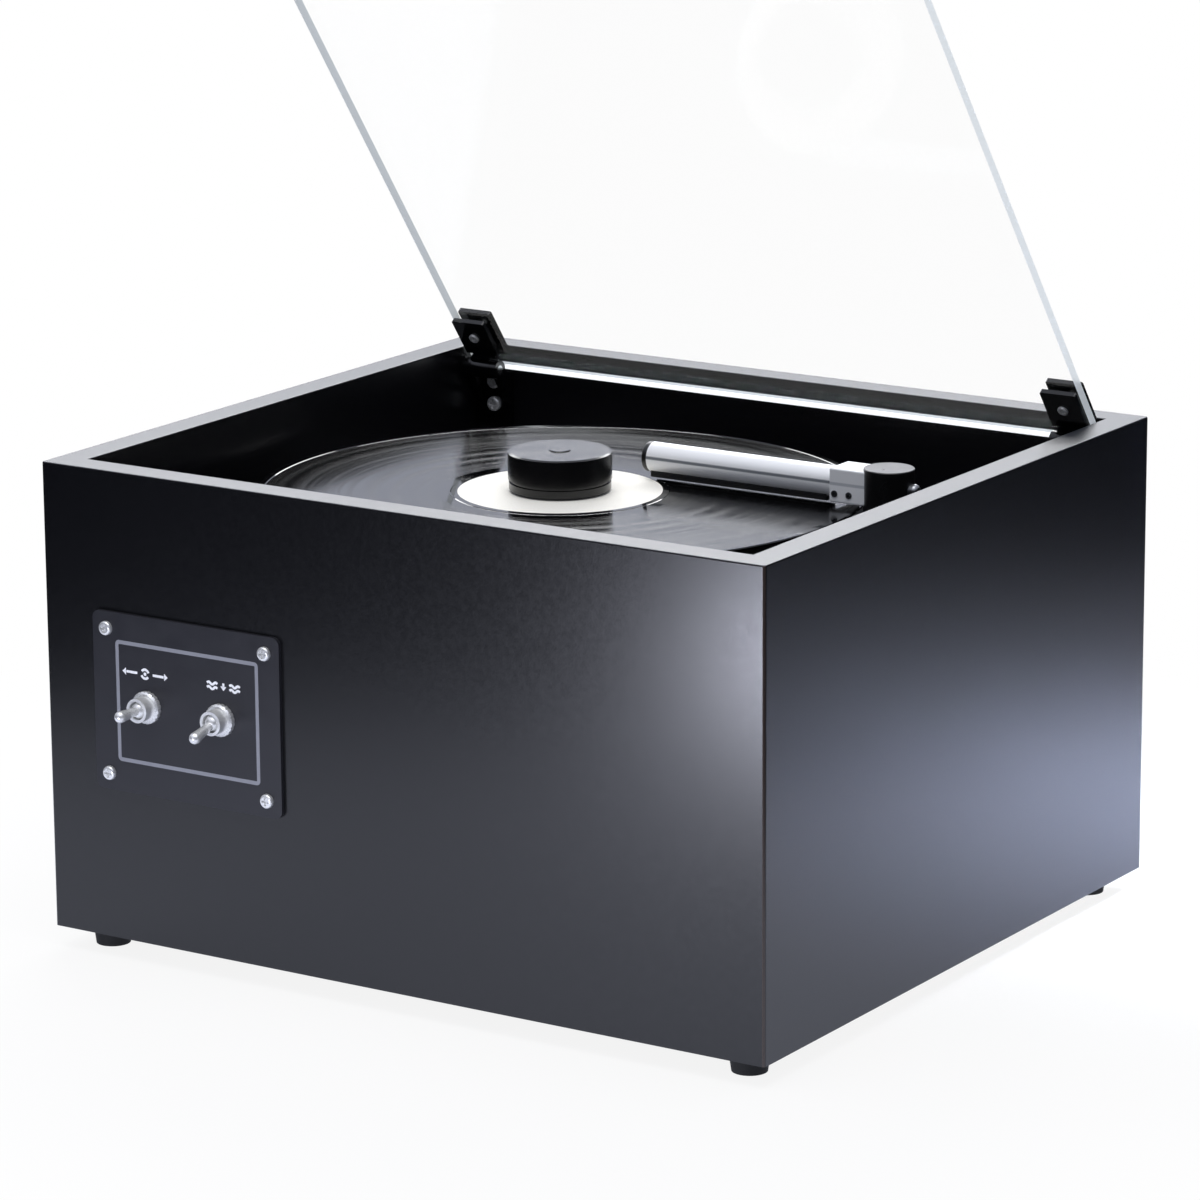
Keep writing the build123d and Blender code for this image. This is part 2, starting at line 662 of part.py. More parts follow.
def switch_body(x):
    """Switch housing behind the plate, with its bushing through it and three terminals behind."""
    half_w = SWITCH_WIDTH / 2
    half_t = SWITCH_TALL / 2
    y1 = FRONT + SWITCH_DEEP
    case = block(x - half_w, x + half_w, FRONT + SWITCH_FRAME, y1, PLATE_Z - half_t, PLATE_Z + half_t)
    frame = block(x - half_w - 1, x + half_w + 1, FRONT, FRONT + SWITCH_FRAME, PLATE_Z - half_t, PLATE_Z + half_t)
    body = case + frame + rod_y(x, PLATE_Z, BUSHING_FRONT, FRONT + SWITCH_FRAME, BUSHING_D)
    ball_r = BUSHING_BORE_D / 2
    body = body - rod_y(x, PLATE_Z, BUSHING_FRONT - 1, TOGGLE_Y + ball_r, BUSHING_BORE_D)
    for n in (-1, 0, 1):
        z = PLATE_Z + n * TERMINAL_PITCH
        half = TERMINAL_SIDE / 2
        body = body + block(x - half * 2, x + half * 2, y1, y1 + TERMINAL, z - half, z + half)
    return body


def switch_nuts():
    """Round nuts with notched rims that hold the switches to the plate."""
    nuts = []
    for x in SWITCH_XS:
        r = NUT_D / 2
        nut = turned(0, 0, [(0, 0), (r, 0), (r, NUT_THICK - NUT_CHAMFER), (r - NUT_CHAMFER, NUT_THICK), (0, NUT_THICK)])
        notch = Cylinder(NUT_NOTCH_D / 2, 4 * NUT_THICK)
        for place in PolarLocations(r + NUT_NOTCH_D / 4, NUT_NOTCHES):
            nut = nut - place * notch
        nut = nut - Cylinder(BUSHING_D / 2, 4 * NUT_THICK)
        nuts.append((Pos(x, FRONT - PLATE_THICK, PLATE_Z) * HEAD_FRONT * nut).solid())
    return Compound(nuts)


def toggle(x, tilt):
    """Bat-handle lever with its ball in the bushing, tilted up from level by an angle."""
    ball_r = BUSHING_BORE_D / 2 - SEAT_GAP
    neck = LEVER_NECK_D / 2
    tip = LEVER_TIP_D / 2
    bat = turned(0, 0, [(0, 0), (neck, 0), (neck, ball_r + 1), (tip, LEVER_LENGTH - tip), (0, LEVER_LENGTH - tip)])
    lever = bat + Sphere(ball_r) + Pos(0, 0, LEVER_LENGTH - tip) * Sphere(tip)
    return Pos(x, TOGGLE_Y, PLATE_Z) * Rot(90 - tilt, 0, 0) * lever


# ---------------------------------------------------------------- platter drive
def drive_hub():
    """Flanged hub under the platter, bored for the shaft and for the spindle's foot."""
    z = RIM - HUB_DEPTH
    hub = rod_z(RECORD_X, RECORD_Y, z - HUB_FLANGE, z, HUB_D)
    hub = hub + rod_z(RECORD_X, RECORD_Y, z - HUB_FLANGE - HUB_BOSS, z - HUB_FLANGE, HUB_BOSS_D)
    hub = hub - rod_z(RECORD_X, RECORD_Y, z - 2 * HUB_BOSS, z - HUB_FLANGE, SHAFT_D)
    return hub - rod_z(RECORD_X, RECORD_Y, z - HUB_FLANGE, z + 1, SPINDLE_D)


def platter():
    """Turned disc with eased edges, recessed for the spindle's flange."""
    top = RIM - PLATTER_DEPTH
    disc = rod_z(RECORD_X, RECORD_Y, top - PLATTER_THICK, top, PLATTER_D)
    disc = fillet(disc.edges().filter_by(GeomType.CIRCLE), PLATTER_ROUND)
    disc = disc - rod_z(RECORD_X, RECORD_Y, top - SPINDLE_FLANGE, top + 1, SPINDLE_FLANGE_D)
    return disc - rod_z(RECORD_X, RECORD_Y, top - 2 * PLATTER_THICK, top + 1, SPINDLE_D)


def platter_mat():
    """Soft mat between platter and record."""
    z = RIM - PLATTER_DEPTH
    mat = rod_z(RECORD_X, RECORD_Y, z, z + MAT_THICK, MAT_D)
    return mat - rod_z(RECORD_X, RECORD_Y, z - 1, z + 2 * MAT_THICK, SPINDLE_D)


def spindle():
    """Centre pin with the flange that holds the platter on its hub."""
    foot = RIM - HUB_DEPTH - HUB_FLANGE
    top = RIM - RECORD_DEPTH + SPINDLE_RISE
    pin = rod_z(RECORD_X, RECORD_Y, foot, top, SPINDLE_D)
    pin = chamfer(pin.edges().filter_by(GeomType.CIRCLE).sort_by(Axis.Z)[-1], SPINDLE_D / 5)
    seat = RIM - PLATTER_DEPTH
    return pin + rod_z(RECORD_X, RECORD_Y, seat - SPINDLE_FLANGE, seat, SPINDLE_FLANGE_D)


def record_disc():
    """Pressed disc: raised edge bead, thinner grooved band, label area with a shallow seat."""
    bottom = RIM - MAT_DEPTH
    top = RIM - RECORD_DEPTH
    outer = RECORD_D / 2
    bead = outer - RECORD_EDGE_BEAD
    dip = top - RECORD_GROOVE_DROP
    inside = LABEL_D / 2 + RECORD_EDGE_BEAD
    half = RECORD_THICK / 4
    return turned(
        RECORD_X,
        RECORD_Y,
        [
            (RECORD_HOLE_D / 2, bottom),
            (outer - half, bottom),
            (outer, bottom + half),
            (outer, top - half),
            (outer - half, top),
            (bead, top),
            (bead - RECORD_GROOVE_DROP * 2, dip),
            (inside, dip),
            (inside - RECORD_GROOVE_DROP * 2, top),
            (LABEL_D / 2, top),
            (LABEL_D / 2, top - LABEL_THICK),
            (RECORD_HOLE_D / 2, top - LABEL_THICK),
        ],
    )


def record_label():
    """Plain paper label on the disc."""
    z = RIM - RECORD_DEPTH
    label = rod_z(RECORD_X, RECORD_Y, z - LABEL_THICK, z, LABEL_D)
    return label - rod_z(RECORD_X, RECORD_Y, z - 1, z + 1, RECORD_HOLE_D)


def drive_shaft():
    """Shaft from the gearbox up through the bearing into the hub."""
    return rod_z(RECORD_X, RECORD_Y, RIM - GEARBOX_TOP - GEARBOX_BORE + SEAT_GAP, RIM - BOSS_DEPTH, SHAFT_D)


def bearing_housing():
    """Flanged housing under the deck, bored for two bushes."""
    top = RIM - HOUSING_DEPTH
    body = rod_z(RECORD_X, RECORD_Y, top - HOUSING_FLANGE, top, HOUSING_FLANGE_D)
    body = body + rod_z(RECORD_X, RECORD_Y, RIM - HOUSING_END, top, HOUSING_BARREL_D)
    return body - rod_z(RECORD_X, RECORD_Y, RIM - HOUSING_END - 1, top + 1, BUSH_D)


def shaft_bushes():
    """Plain bronze bushes at the two ends of the housing."""
    low = RIM - HOUSING_END
    high = RIM - HOUSING_DEPTH - BUSH_LENGTH
    bore = SHAFT_D + 2 * TURN_CLEARANCE
    bushes = []
    for z in (low, high):
        bush = rod_z(RECORD_X, RECORD_Y, z, z + BUSH_LENGTH, BUSH_D)
        bushes.append((bush - rod_z(RECORD_X, RECORD_Y, z - 1, z + BUSH_LENGTH + 1, bore)).solid())
    return Compound(bushes)


def gearbox():
    """Reduction gearbox under the bearing."""
    top = RIM - GEARBOX_TOP
    case = Pos(RECORD_X, RECORD_Y, top - GEARBOX_HEIGHT) * Box(
        GEARBOX_WIDTH, GEARBOX_DEPTH, GEARBOX_HEIGHT, align=LOW
    )
    case = fillet(case.edges().filter_by(Axis.Z), GEARBOX_ROUND)
    return case - rod_z(RECORD_X, RECORD_Y, top - GEARBOX_BORE, top + 1, SHAFT_D + 2 * TURN_CLEARANCE)


def drive_motor():
    """Motor can under the gearbox."""
    top = RIM - MOTOR_TOP
    can = rod_z(RECORD_X, RECORD_Y, top - MOTOR_LENGTH, top, MOTOR_D)
    return fillet(can.edges().filter_by(GeomType.CIRCLE).sort_by(Axis.Z)[0], MOTOR_ROUND)


def motor_standoffs():
    """Four posts that hang the gearbox from the deck."""
    dx = GEARBOX_WIDTH / 2 - STANDOFF_INSET
    dy = GEARBOX_DEPTH / 2 - STANDOFF_INSET
    posts = []
    for x, y, _ in four_corners(dx, dy, 0):
        post = rod_z(RECORD_X + x, RECORD_Y + y, RIM - GEARBOX_TOP, RIM - HOUSING_DEPTH, STANDOFF_D)
        posts.append(post.solid())
    return Compound(posts)


# ---------------------------------------------------------------- record clamp
def clamp_body():
    """Screw-down puck: lower band, waist, tall grip, bevelled top with a dish and a centre boss."""
    base = RIM - RECORD_DEPTH
    foot = base + CLAMP_FOOT_RISE
    band = base + CLAMP_BAND
    waist = band + CLAMP_WAIST
    top = base + CLAMP_HEIGHT
    r = CLAMP_D / 2
    puck = turned(
        RECORD_X,
        RECORD_Y,
        [
            (0, foot),
            (CLAMP_BAND_D / 2 - CLAMP_WAIST / 2, foot),
            (CLAMP_BAND_D / 2, foot + CLAMP_WAIST / 2),
            (CLAMP_BAND_D / 2, band),
            (CLAMP_WAIST_D / 2, band),
            (CLAMP_WAIST_D / 2, waist),
            (r, waist),
            (r, top - CLAMP_DISH - CLAMP_BEVEL_DROP),
            (r - CLAMP_BEVEL, top - CLAMP_DISH),
            (CLAMP_BOSS_D / 2, top - CLAMP_DISH),
            (CLAMP_BOSS_D / 2 - CLAMP_DISH, top),
            (0, top),
        ],
    )
    puck = puck - rod_z(RECORD_X, RECORD_Y, base - 1, base + CLAMP_PAD_THICK, CLAMP_PAD_D)
    bush_bore = CLAMP_INSERT_D + 2 * TURN_CLEARANCE
    return puck - rod_z(RECORD_X, RECORD_Y, base - 1, base + CLAMP_INSERT + SEAT_GAP, bush_bore)


def clamp_insert():
    """Brass bush that runs on the spindle."""
    base = RIM - RECORD_DEPTH + CLAMP_FOOT_RISE
    top = RIM - RECORD_DEPTH + CLAMP_INSERT
    bush = rod_z(RECORD_X, RECORD_Y, base, top, CLAMP_INSERT_D)
    return bush - rod_z(RECORD_X, RECORD_Y, base - 1, top + 1, SPINDLE_D + 2 * CLAMP_BORE_CLEARANCE)


def clamp_pad():
    """Soft ring that presses on the label."""
    base = RIM - RECORD_DEPTH
    pad = rod_z(RECORD_X, RECORD_Y, base + SEAT_GAP, base + CLAMP_PAD_THICK, CLAMP_PAD_D)
    return pad - rod_z(RECORD_X, RECORD_Y, base - 1, base + 2 * CLAMP_PAD_THICK, CLAMP_INSERT_D + 2 * SEAT_GAP)


# ---------------------------------------------------------------- vacuum arm
def arm_post():
    """Hollow turning post: thick part above the bearing, spigot down into the tank."""
    top = RIM - POST_TOP_DEPTH
    shoulder = COLLAR_TOP
    low = BEARING_END - SPIGOT_BELOW
    post = rod_z(POST_X, POST_Y, shoulder, top, POST_D)
    post = fillet(post.edges().filter_by(GeomType.CIRCLE).sort_by(Axis.Z)[-1], POST_ROUND)
    post = post + rod_z(POST_X, POST_Y, low, shoulder, SPIGOT_D)
    post = post - rod_z(POST_X, POST_Y, low - 1, TUBE_Z, AIR_BORE_D)
    post = post - rod_x(POST_Y, TUBE_Z, POST_X - POST_D, POST_X, AIR_BORE_D)
    bolt = Pos(POST_X + POST_D / 2 - SET_SCREW_PROUD, POST_Y, TUBE_Z) * HEAD_RIGHT * screw(ARM_BOLT)
    seat = rod_x(POST_Y, TUBE_Z, POST_X + POST_D / 2 - SET_SCREW_PROUD, POST_X + POST_D, ARM_BOLT[0])
    return post - seat - bolt


def arm_block():
    """Silver block that joins the tube to the post."""
    half_w = ARM_BLOCK_WIDTH / 2
    half_t = ARM_BLOCK_TALL / 2
    body = block(BLOCK_X, POST_X, POST_Y - half_w, POST_Y + half_w, TUBE_Z - half_t, TUBE_Z + half_t)
    body = fillet(body.edges().filter_by(Axis.X) + body.faces().sort_by(Axis.X)[0].edges(), ARM_BLOCK_ROUND)
    body = body - rod_z(POST_X, POST_Y, TUBE_Z - ARM_BLOCK_TALL, TUBE_Z + ARM_BLOCK_TALL, POST_D)
    body = body - rod_x(POST_Y, TUBE_Z, BLOCK_X - 1, BLOCK_X + TUBE_IN_BLOCK, TUBE_D)
    body = body - rod_x(POST_Y, TUBE_Z, BLOCK_X, POST_X, AIR_BORE_D)
    for x, y, z in set_screw_points():
        body = body - rod_y(x, z, y, y + SET_SCREW_LENGTH, SET_SCREW_D)
    return body.solid()


def set_screw_points():
    """Outer ends of the two set screws, low on the block's front face."""
    y = POST_Y - ARM_BLOCK_WIDTH / 2 - SET_SCREW_PROUD
    z = TUBE_Z - ARM_BLOCK_TALL / 2 + SET_SCREW_RISE
    x = BLOCK_X + ARM_BLOCK_LENGTH * 0.45
    return [(x + s * SET_SCREW_SPACING / 2, y, z) for s in (-1, 1)]


def arm_screws():
    """The block's two set screws and the bolt on the far side of the post."""
    screws = []
    for x, y, z in set_screw_points():
        one = rod_y(x, z, y, y + SET_SCREW_LENGTH, SET_SCREW_D)
        one = one - Pos(x, y, z) * HEAD_FRONT * extrude(RegularPolygon(SET_SCREW_D / 4, 6), SET_SCREW_D / 2, both=True)
        screws.append(one.solid())
    bolt = Pos(POST_X + POST_D / 2 - SET_SCREW_PROUD, POST_Y, TUBE_Z) * HEAD_RIGHT * screw(ARM_BOLT)
    screws.append(bolt.solid())
    return Compound(screws)


def arm_tube():
    """Polished suction tube with a slot along its underside."""
    start = TIP_X + PLUG_CAP
    end = BLOCK_X + TUBE_IN_BLOCK
    tube = rod_x(POST_Y, TUBE_Z, start, end, TUBE_D)
    tube = tube - rod_x(POST_Y, TUBE_Z, start - 1, end + 1, TUBE_D - 2 * TUBE_WALL)
    half = SLOT_WIDTH / 2
    return tube - block(
        TIP_X + SLOT_END, BLOCK_X - SLOT_END, POST_Y - half, POST_Y + half, TUBE_Z - TUBE_D, TUBE_Z - TUBE_D / 4
    )


def arm_end_plug():
    """Turned plug that closes the tube's tip."""
    cap = rod_x(POST_Y, TUBE_Z, TIP_X, TIP_X + PLUG_CAP, TUBE_D)
    cap = fillet(cap.edges().filter_by(GeomType.CIRCLE).sort_by(Axis.X)[0], PLUG_CAP / 3)
    return cap + rod_x(POST_Y, TUBE_Z, TIP_X + PLUG_CAP, TIP_X + PLUG_STUB, TUBE_D - 2 * TUBE_WALL)


def velvet_lips():
    """Soft strips on both sides of the slot, shaped to the tube."""
    tube = rod_x(POST_Y, TUBE_Z, TIP_X - 1, POST_X, TUBE_D)
    strips = []
    for s in (-1, 1):
        near = POST_Y + s * SLOT_WIDTH / 2
        far = near + s * LIP_WIDTH
        strip = block(
            TIP_X + LIP_END, BLOCK_X - LIP_END, min(near, far), max(near, far), LIP_BOTTOM, LIP_BOTTOM + LIP_RISE
        )
        strips.append((strip - tube).solids().sort_by(Axis.Z)[0])
    return Compound(strips)


def post_bearing():
    """Flanged bearing through the deck: spring well above, close bore below."""
    deck_top = RIM - DECK_DEPTH
    body = rod_z(POST_X, POST_Y, deck_top, BEARING_TOP, BEARING_FLANGE_D)
    body = body + rod_z(POST_X, POST_Y, BEARING_END, deck_top, BEARING_BARREL_D)
    well = SPIGOT_D + 2 * SPRING_ROOM
    body = body - rod_z(POST_X, POST_Y, SPRING_BOTTOM, BEARING_TOP + 1, well)
    return body - rod_z(POST_X, POST_Y, BEARING_END - 1, BEARING_TOP, SPIGOT_D + 2 * TURN_CLEARANCE)


def lift_collar():
    """Ring between the spring and the post's shoulder."""
    outer = SPIGOT_D + 2 * SPRING_ROOM - 2 * COLLAR_CLEARANCE
    ring = rod_z(POST_X, POST_Y, SPRING_TOP, COLLAR_TOP, outer)
    return ring - rod_z(POST_X, POST_Y, SPRING_TOP - 1, COLLAR_TOP + 1, SPIGOT_D + 2 * TURN_CLEARANCE)


def lift_spring():
    """Coil spring in the well under the collar."""
    rise = SPRING_TOP - SPRING_BOTTOM - SPRING_WIRE
    helix = Helix(rise / SPRING_TURNS, rise, SPIGOT_D / 2 + SPRING_ROOM / 2)
    section = Plane(origin=helix @ 0, z_dir=helix % 0) * Circle(SPRING_WIRE / 2)
    coil = sweep(section, path=helix, is_frenet=True)
    return Pos(POST_X, POST_Y, SPRING_BOTTOM + SPRING_WIRE / 2) * coil


# ---------------------------------------------------------------- vacuum system
def waste_tank():
    """Closed tank under the arm's post, with the stub for the hose and holes for bearing and drain."""
    tank = block(TANK_LEFT, TANK_RIGHT, TANK_FRONT, TANK_BACK, FLOOR_IN, TANK_TOP)
    tank = fillet(tank.edges().filter_by(Axis.Z), TANK_ROUND)
    wall = TANK_WALL
    hollow = block(
        TANK_LEFT + wall,
        TANK_RIGHT - wall,
        TANK_FRONT + wall,
        TANK_BACK - wall,
        FLOOR_IN + wall,
        TANK_TOP - wall,
    )
    tank = tank - hollow
    tank = tank + rod_x(VACUUM_Y, HOSE_Z, TANK_LEFT - STUB_LENGTH, TANK_LEFT, STUB_D)
    tank = tank - rod_x(VACUUM_Y, HOSE_Z, TANK_LEFT - 2 * STUB_LENGTH, TANK_LEFT + 2 * wall, STUB_D - 2 * STUB_WALL)
    tank = tank - rod_z(POST_X, POST_Y, TANK_TOP - 2 * wall, TANK_TOP + 1, BEARING_BARREL_D)
    return tank - rod_y(DRAIN_X, DRAIN_Z, TANK_BACK - 2 * wall, TANK_BACK + 1, DRAIN_D)


def vacuum_motor():
    """Blower can with its motor on top and the stub for the hose."""
    top = FLOOR_IN + VACUUM_HEIGHT
    can = rod_z(VACUUM_X, VACUUM_Y, FLOOR_IN, top, VACUUM_D)
    can = fillet(can.edges().filter_by(GeomType.CIRCLE).sort_by(Axis.Z)[-1], VACUUM_ROUND)
    can = can + rod_z(VACUUM_X, VACUUM_Y, top, top + VACUUM_MOTOR_RISE, VACUUM_MOTOR_D)
    edge = VACUUM_X + VACUUM_D / 2
    can = can + rod_x(VACUUM_Y, HOSE_Z, VACUUM_X, edge + STUB_LENGTH, STUB_D)
    return can - rod_x(VACUUM_Y, HOSE_Z, edge - STUB_LENGTH, edge + 2 * STUB_LENGTH, STUB_D - 2 * STUB_WALL)


def suction_hose():
    """Hose pushed over the two stubs."""
    x0 = VACUUM_X + VACUUM_D / 2 + HOSE_END_GAP
    x1 = TANK_LEFT - HOSE_END_GAP
    hose = rod_x(VACUUM_Y, HOSE_Z, x0, x1, STUB_D + 2 * HOSE_WALL)
    return hose - rod_x(VACUUM_Y, HOSE_Z, x0 - 1, x1 + 1, STUB_D)


def drain_spout():
    """Pipe from the tank out through the back board, with a collar outside."""
    pipe = rod_y(DRAIN_X, DRAIN_Z, TANK_BACK - TANK_WALL, DRAIN_END, DRAIN_D)
    pipe = pipe + rod_y(DRAIN_X, DRAIN_Z, BACK, DRAIN_FACE, DRAIN_NUT_D)
    return pipe - rod_y(DRAIN_X, DRAIN_Z, TANK_BACK - 2 * TANK_WALL, DRAIN_END + 1, DRAIN_D - 2 * DRAIN_WALL)


def drain_cap():
    """Ribbed cap on the drain."""
    start = DRAIN_FACE + CAP_GAP
    cap = rod_y(DRAIN_X, DRAIN_Z, start, CAP_FACE, CAP_D)
    for n in range(CAP_RIBS):
        turn = radians(n * 360 / CAP_RIBS)
        x = DRAIN_X + CAP_D / 2 * cos(turn)
        z = DRAIN_Z + CAP_D / 2 * sin(turn)
        cap = cap + rod_y(x, z, start, CAP_FACE - CAP_END, CAP_RIB_D)
    return cap - rod_y(DRAIN_X, DRAIN_Z, start - 1, CAP_FACE - CAP_END, DRAIN_D + 2 * CAP_CLEARANCE)


def vent_grille():
    """Square slotted cover over the blower's outlet."""
    half = GRILLE_SIDE / 2
    grille = block(VACUUM_X - half, VACUUM_X + half, BACK, BACK + GRILLE_THICK, GRILLE_Z - half, GRILLE_Z + half)
    grille = fillet(grille.edges().filter_by(Axis.Y), PLATE_ROUND)
    for n in range(GRILLE_SLOTS):
        z = GRILLE_Z + (n - (GRILLE_SLOTS - 1) / 2) * GRILLE_PITCH
        reach = GRILLE_HOLE_D / 2 - GRILLE_SLOT
        slot = Pos(VACUUM_X, BACK, z) * HEAD_BACK * extrude(
            SlotOverall(2 * reach, GRILLE_SLOT), 2 * GRILLE_THICK, both=True
        )
        grille = grille - slot
    return drilled(grille, BACK_SCREW, HEAD_BACK, back_screw_points())


def power_inlet():
    """Appliance inlet: flange outside, housing through the board, three blades in its well."""
    half_w = INLET_WIDTH / 2
    half_t = INLET_TALL / 2
    face = BACK + INLET_THICK
    flange = block(INLET_X - half_w, INLET_X + half_w, BACK, face, INLET_Z - half_t, INLET_Z + half_t)
    flange = fillet(flange.edges().filter_by(Axis.Y), PLATE_ROUND)
    half_w = INLET_BODY_WIDTH / 2
    half_t = INLET_BODY_TALL / 2
    case = block(INLET_X - half_w, INLET_X + half_w, BACK - INLET_BODY, BACK, INLET_Z - half_t, INLET_Z + half_t)
    half_w = INLET_WELL_WIDTH / 2
    half_t = INLET_WELL_TALL / 2
    well = block(
        INLET_X - half_w, INLET_X + half_w, face - INLET_WELL, face + 1, INLET_Z - half_t, INLET_Z + half_t
    )
    body = flange + case - well
    wide, tall, long = INLET_BLADE
    for n in (-1, 0, 1):
        x = INLET_X + n * INLET_BLADE_PITCH
        z = INLET_Z + (tall / 2 if n == 0 else -tall / 2)
        floor = face - INLET_WELL
        body = body + block(x - wide / 2, x + wide / 2, floor, floor + long, z - tall / 2, z + tall / 2)
    return drilled(body, BACK_SCREW, HEAD_BACK, back_screw_points())


# ---------------------------------------------------------------- writing the pieces
def pieces():
    """Every node's name and shape, about the cabinet's middle."""
    ring = cabinet_walls()
    yield "front_panel", front_panel(ring)
    yield "back_panel", back_panel(ring)
    yield "left_side", mitred(ring, -90, DEPTH / 2, WIDTH / 2)
    yield "right_side", mitred(ring, 90, DEPTH / 2, WIDTH / 2)
    yield "base_panel", base_panel()
    yield "corner_blocks", corner_blocks()
    yield "rubber_feet", rubber_feet()
    yield "foot_screws", placed_screws(FOOT_SCREW, HEAD_DOWN, foot_points())
    yield "deck_plate", deck_plate()
    yield "deck_cleats", deck_cleats()
    yield "deck_screws", placed_screws(DECK_SCREW, UPRIGHT, deck_screw_points())
    yield "lid_rests", lid_rests()
    yield "lid_sheet", lid_sheet()
    for name, side in (("left", -1), ("right", 1)):
        yield f"hinge_clamp_{name}", hinge_clamp(side)
        yield f"hinge_base_{name}", hinge_base(side)
    yield "hinge_bars", hinge_bars()
    yield "jaw_screws", Compound([opened(s).solid() for s in placed_screws(JAW_SCREW, HEAD_DOWN, jaw_screw_points()).solids()])
    yield "hinge_pins", hinge_pins()
    yield "hinge_screws", placed_screws(WOOD_SCREW, HEAD_FRONT, hinge_screw_points())
    yield "control_plate", control_plate()
    yield "plate_screws", placed_screws(PLATE_SCREW, HEAD_FRONT, plate_screw_points())
    for name, x, tilt in (("left", SWITCH_XS[0], 0), ("right", SWITCH_XS[1], -TOGGLE_THROW)):
        yield f"switch_{name}", switch_body(x)
        yield f"toggle_{name}", toggle(x, tilt)
    yield "switch_nuts", switch_nuts()
    yield "platter", platter()
    yield "platter_mat", platter_mat()
    yield "record_disc", record_disc()
    yield "record_label", record_label()
    yield "spindle", spindle()
    yield "drive_hub", drive_hub()
    yield "drive_shaft", drive_shaft()
    yield "bearing_housing", bearing_housing()
    yield "shaft_bushes", shaft_bushes()
    yield "gearbox", gearbox()
    yield "drive_motor", drive_motor()
    yield "motor_standoffs", motor_standoffs()
    yield "clamp_body", clamp_body()
    yield "clamp_insert", clamp_insert()
    yield "clamp_pad", clamp_pad()
    yield "arm_post", arm_post()
    yield "arm_block", arm_block()
    yield "arm_screws", arm_screws()
    yield "arm_tube", arm_tube()
    yield "arm_end_plug", arm_end_plug()
    yield "velvet_lips", velvet_lips()
    yield "post_bearing", post_bearing()
    yield "lift_collar", lift_collar()
    yield "lift_spring", lift_spring()
    yield "waste_tank", waste_tank()
    yield "suction_hose", suction_hose()
    yield "vacuum_motor", vacuum_motor()
    yield "drain_spout", drain_spout()
    yield "drain_cap", drain_cap()
    yield "vent_grille", vent_grille()
    yield "power_inlet", power_inlet()
    yield "back_screws", placed_screws(BACK_SCREW, HEAD_BACK, back_screw_points())


for node, shape in pieces():
    export_step(Pos(0, CABINET_Y, 0) * shape, f"parts/{node}.step")
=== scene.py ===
"""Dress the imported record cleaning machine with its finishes, printed plate, velvet and studio.

Everything is in metres in the part's own frame: +X right, +Y back, +Z up, floor at zero.
"""

from __future__ import annotations

import json
import logging
import math
from dataclasses import dataclass, replace
from enum import Enum
from typing import Any, Iterable, Sequence

import bmesh
import bpy
from mathutils import Matrix, Vector

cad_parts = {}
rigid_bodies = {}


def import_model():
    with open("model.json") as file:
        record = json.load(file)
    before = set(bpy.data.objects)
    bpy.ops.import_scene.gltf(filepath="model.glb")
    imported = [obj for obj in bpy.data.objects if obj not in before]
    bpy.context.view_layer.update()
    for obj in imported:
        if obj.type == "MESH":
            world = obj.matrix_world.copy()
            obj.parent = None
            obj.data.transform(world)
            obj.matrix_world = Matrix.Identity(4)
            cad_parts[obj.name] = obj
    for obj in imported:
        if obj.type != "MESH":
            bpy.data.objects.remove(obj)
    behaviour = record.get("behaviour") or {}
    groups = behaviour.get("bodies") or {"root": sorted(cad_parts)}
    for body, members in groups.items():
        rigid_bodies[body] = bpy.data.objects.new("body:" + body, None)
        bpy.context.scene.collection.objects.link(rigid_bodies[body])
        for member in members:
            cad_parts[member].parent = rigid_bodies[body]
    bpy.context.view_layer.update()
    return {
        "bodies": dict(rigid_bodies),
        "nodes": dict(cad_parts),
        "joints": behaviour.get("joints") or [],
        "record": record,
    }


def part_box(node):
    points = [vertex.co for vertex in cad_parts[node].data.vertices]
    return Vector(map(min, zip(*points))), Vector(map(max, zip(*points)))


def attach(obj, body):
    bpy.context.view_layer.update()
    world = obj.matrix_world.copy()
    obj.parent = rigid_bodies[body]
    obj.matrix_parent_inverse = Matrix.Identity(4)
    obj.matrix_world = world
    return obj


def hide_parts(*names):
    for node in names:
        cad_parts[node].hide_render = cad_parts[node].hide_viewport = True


LOG = logging.getLogger("record_cleaner")
MM = 0.001
Point = tuple[float, float]
Place = tuple[float, float, float]

# nearly all of a cloudy pattern lies between these levels
CLOUD: Point = (0.3, 0.7)
# a face looks along an axis where its normal's share of that axis passes this
FACING = 0.7


# ------------------------------------------------------------------ colour and nodes
def linear(hex_colour: str) -> tuple[float, float, float, float]:
    """Turn an sRGB hex colour into the linear values that a socket takes.

    Args:
        hex_colour: A colour such as "#1a1a1c".

    Returns:
        Linear red, green, blue and an alpha of one.
    """
    raw = [int(hex_colour[i : i + 2], 16) / 255 for i in (1, 3, 5)]
    r, g, b = [c / 12.92 if c <= 0.04045 else ((c + 0.055) / 1.055) ** 2.4 for c in raw]
    return (r, g, b, 1.0)


def add_node(
    tree: bpy.types.NodeTree,
    kind: str,
    settings: dict[Any, Any] | None = None,
    links: dict[Any, bpy.types.NodeSocket] | None = None,
) -> bpy.types.Node:
    """Add one node with its settings and the links into it.

    Args:
        tree: The node tree that gets it.
        kind: The node's type, such as "ShaderNodeBump".
        settings: Property names, or input names or numbers, and their values.
        links: Input names or numbers, and the sockets that feed them.

    Returns:
        The new node.
    """
    node = tree.nodes.new(kind)
    for key, value in (settings or {}).items():
        if isinstance(key, str) and key.islower() and hasattr(node, key):
            setattr(node, key, value)
        else:
            node.inputs[key].default_value = value
    for key, socket in (links or {}).items():
        tree.links.new(socket, node.inputs[key])
    return node


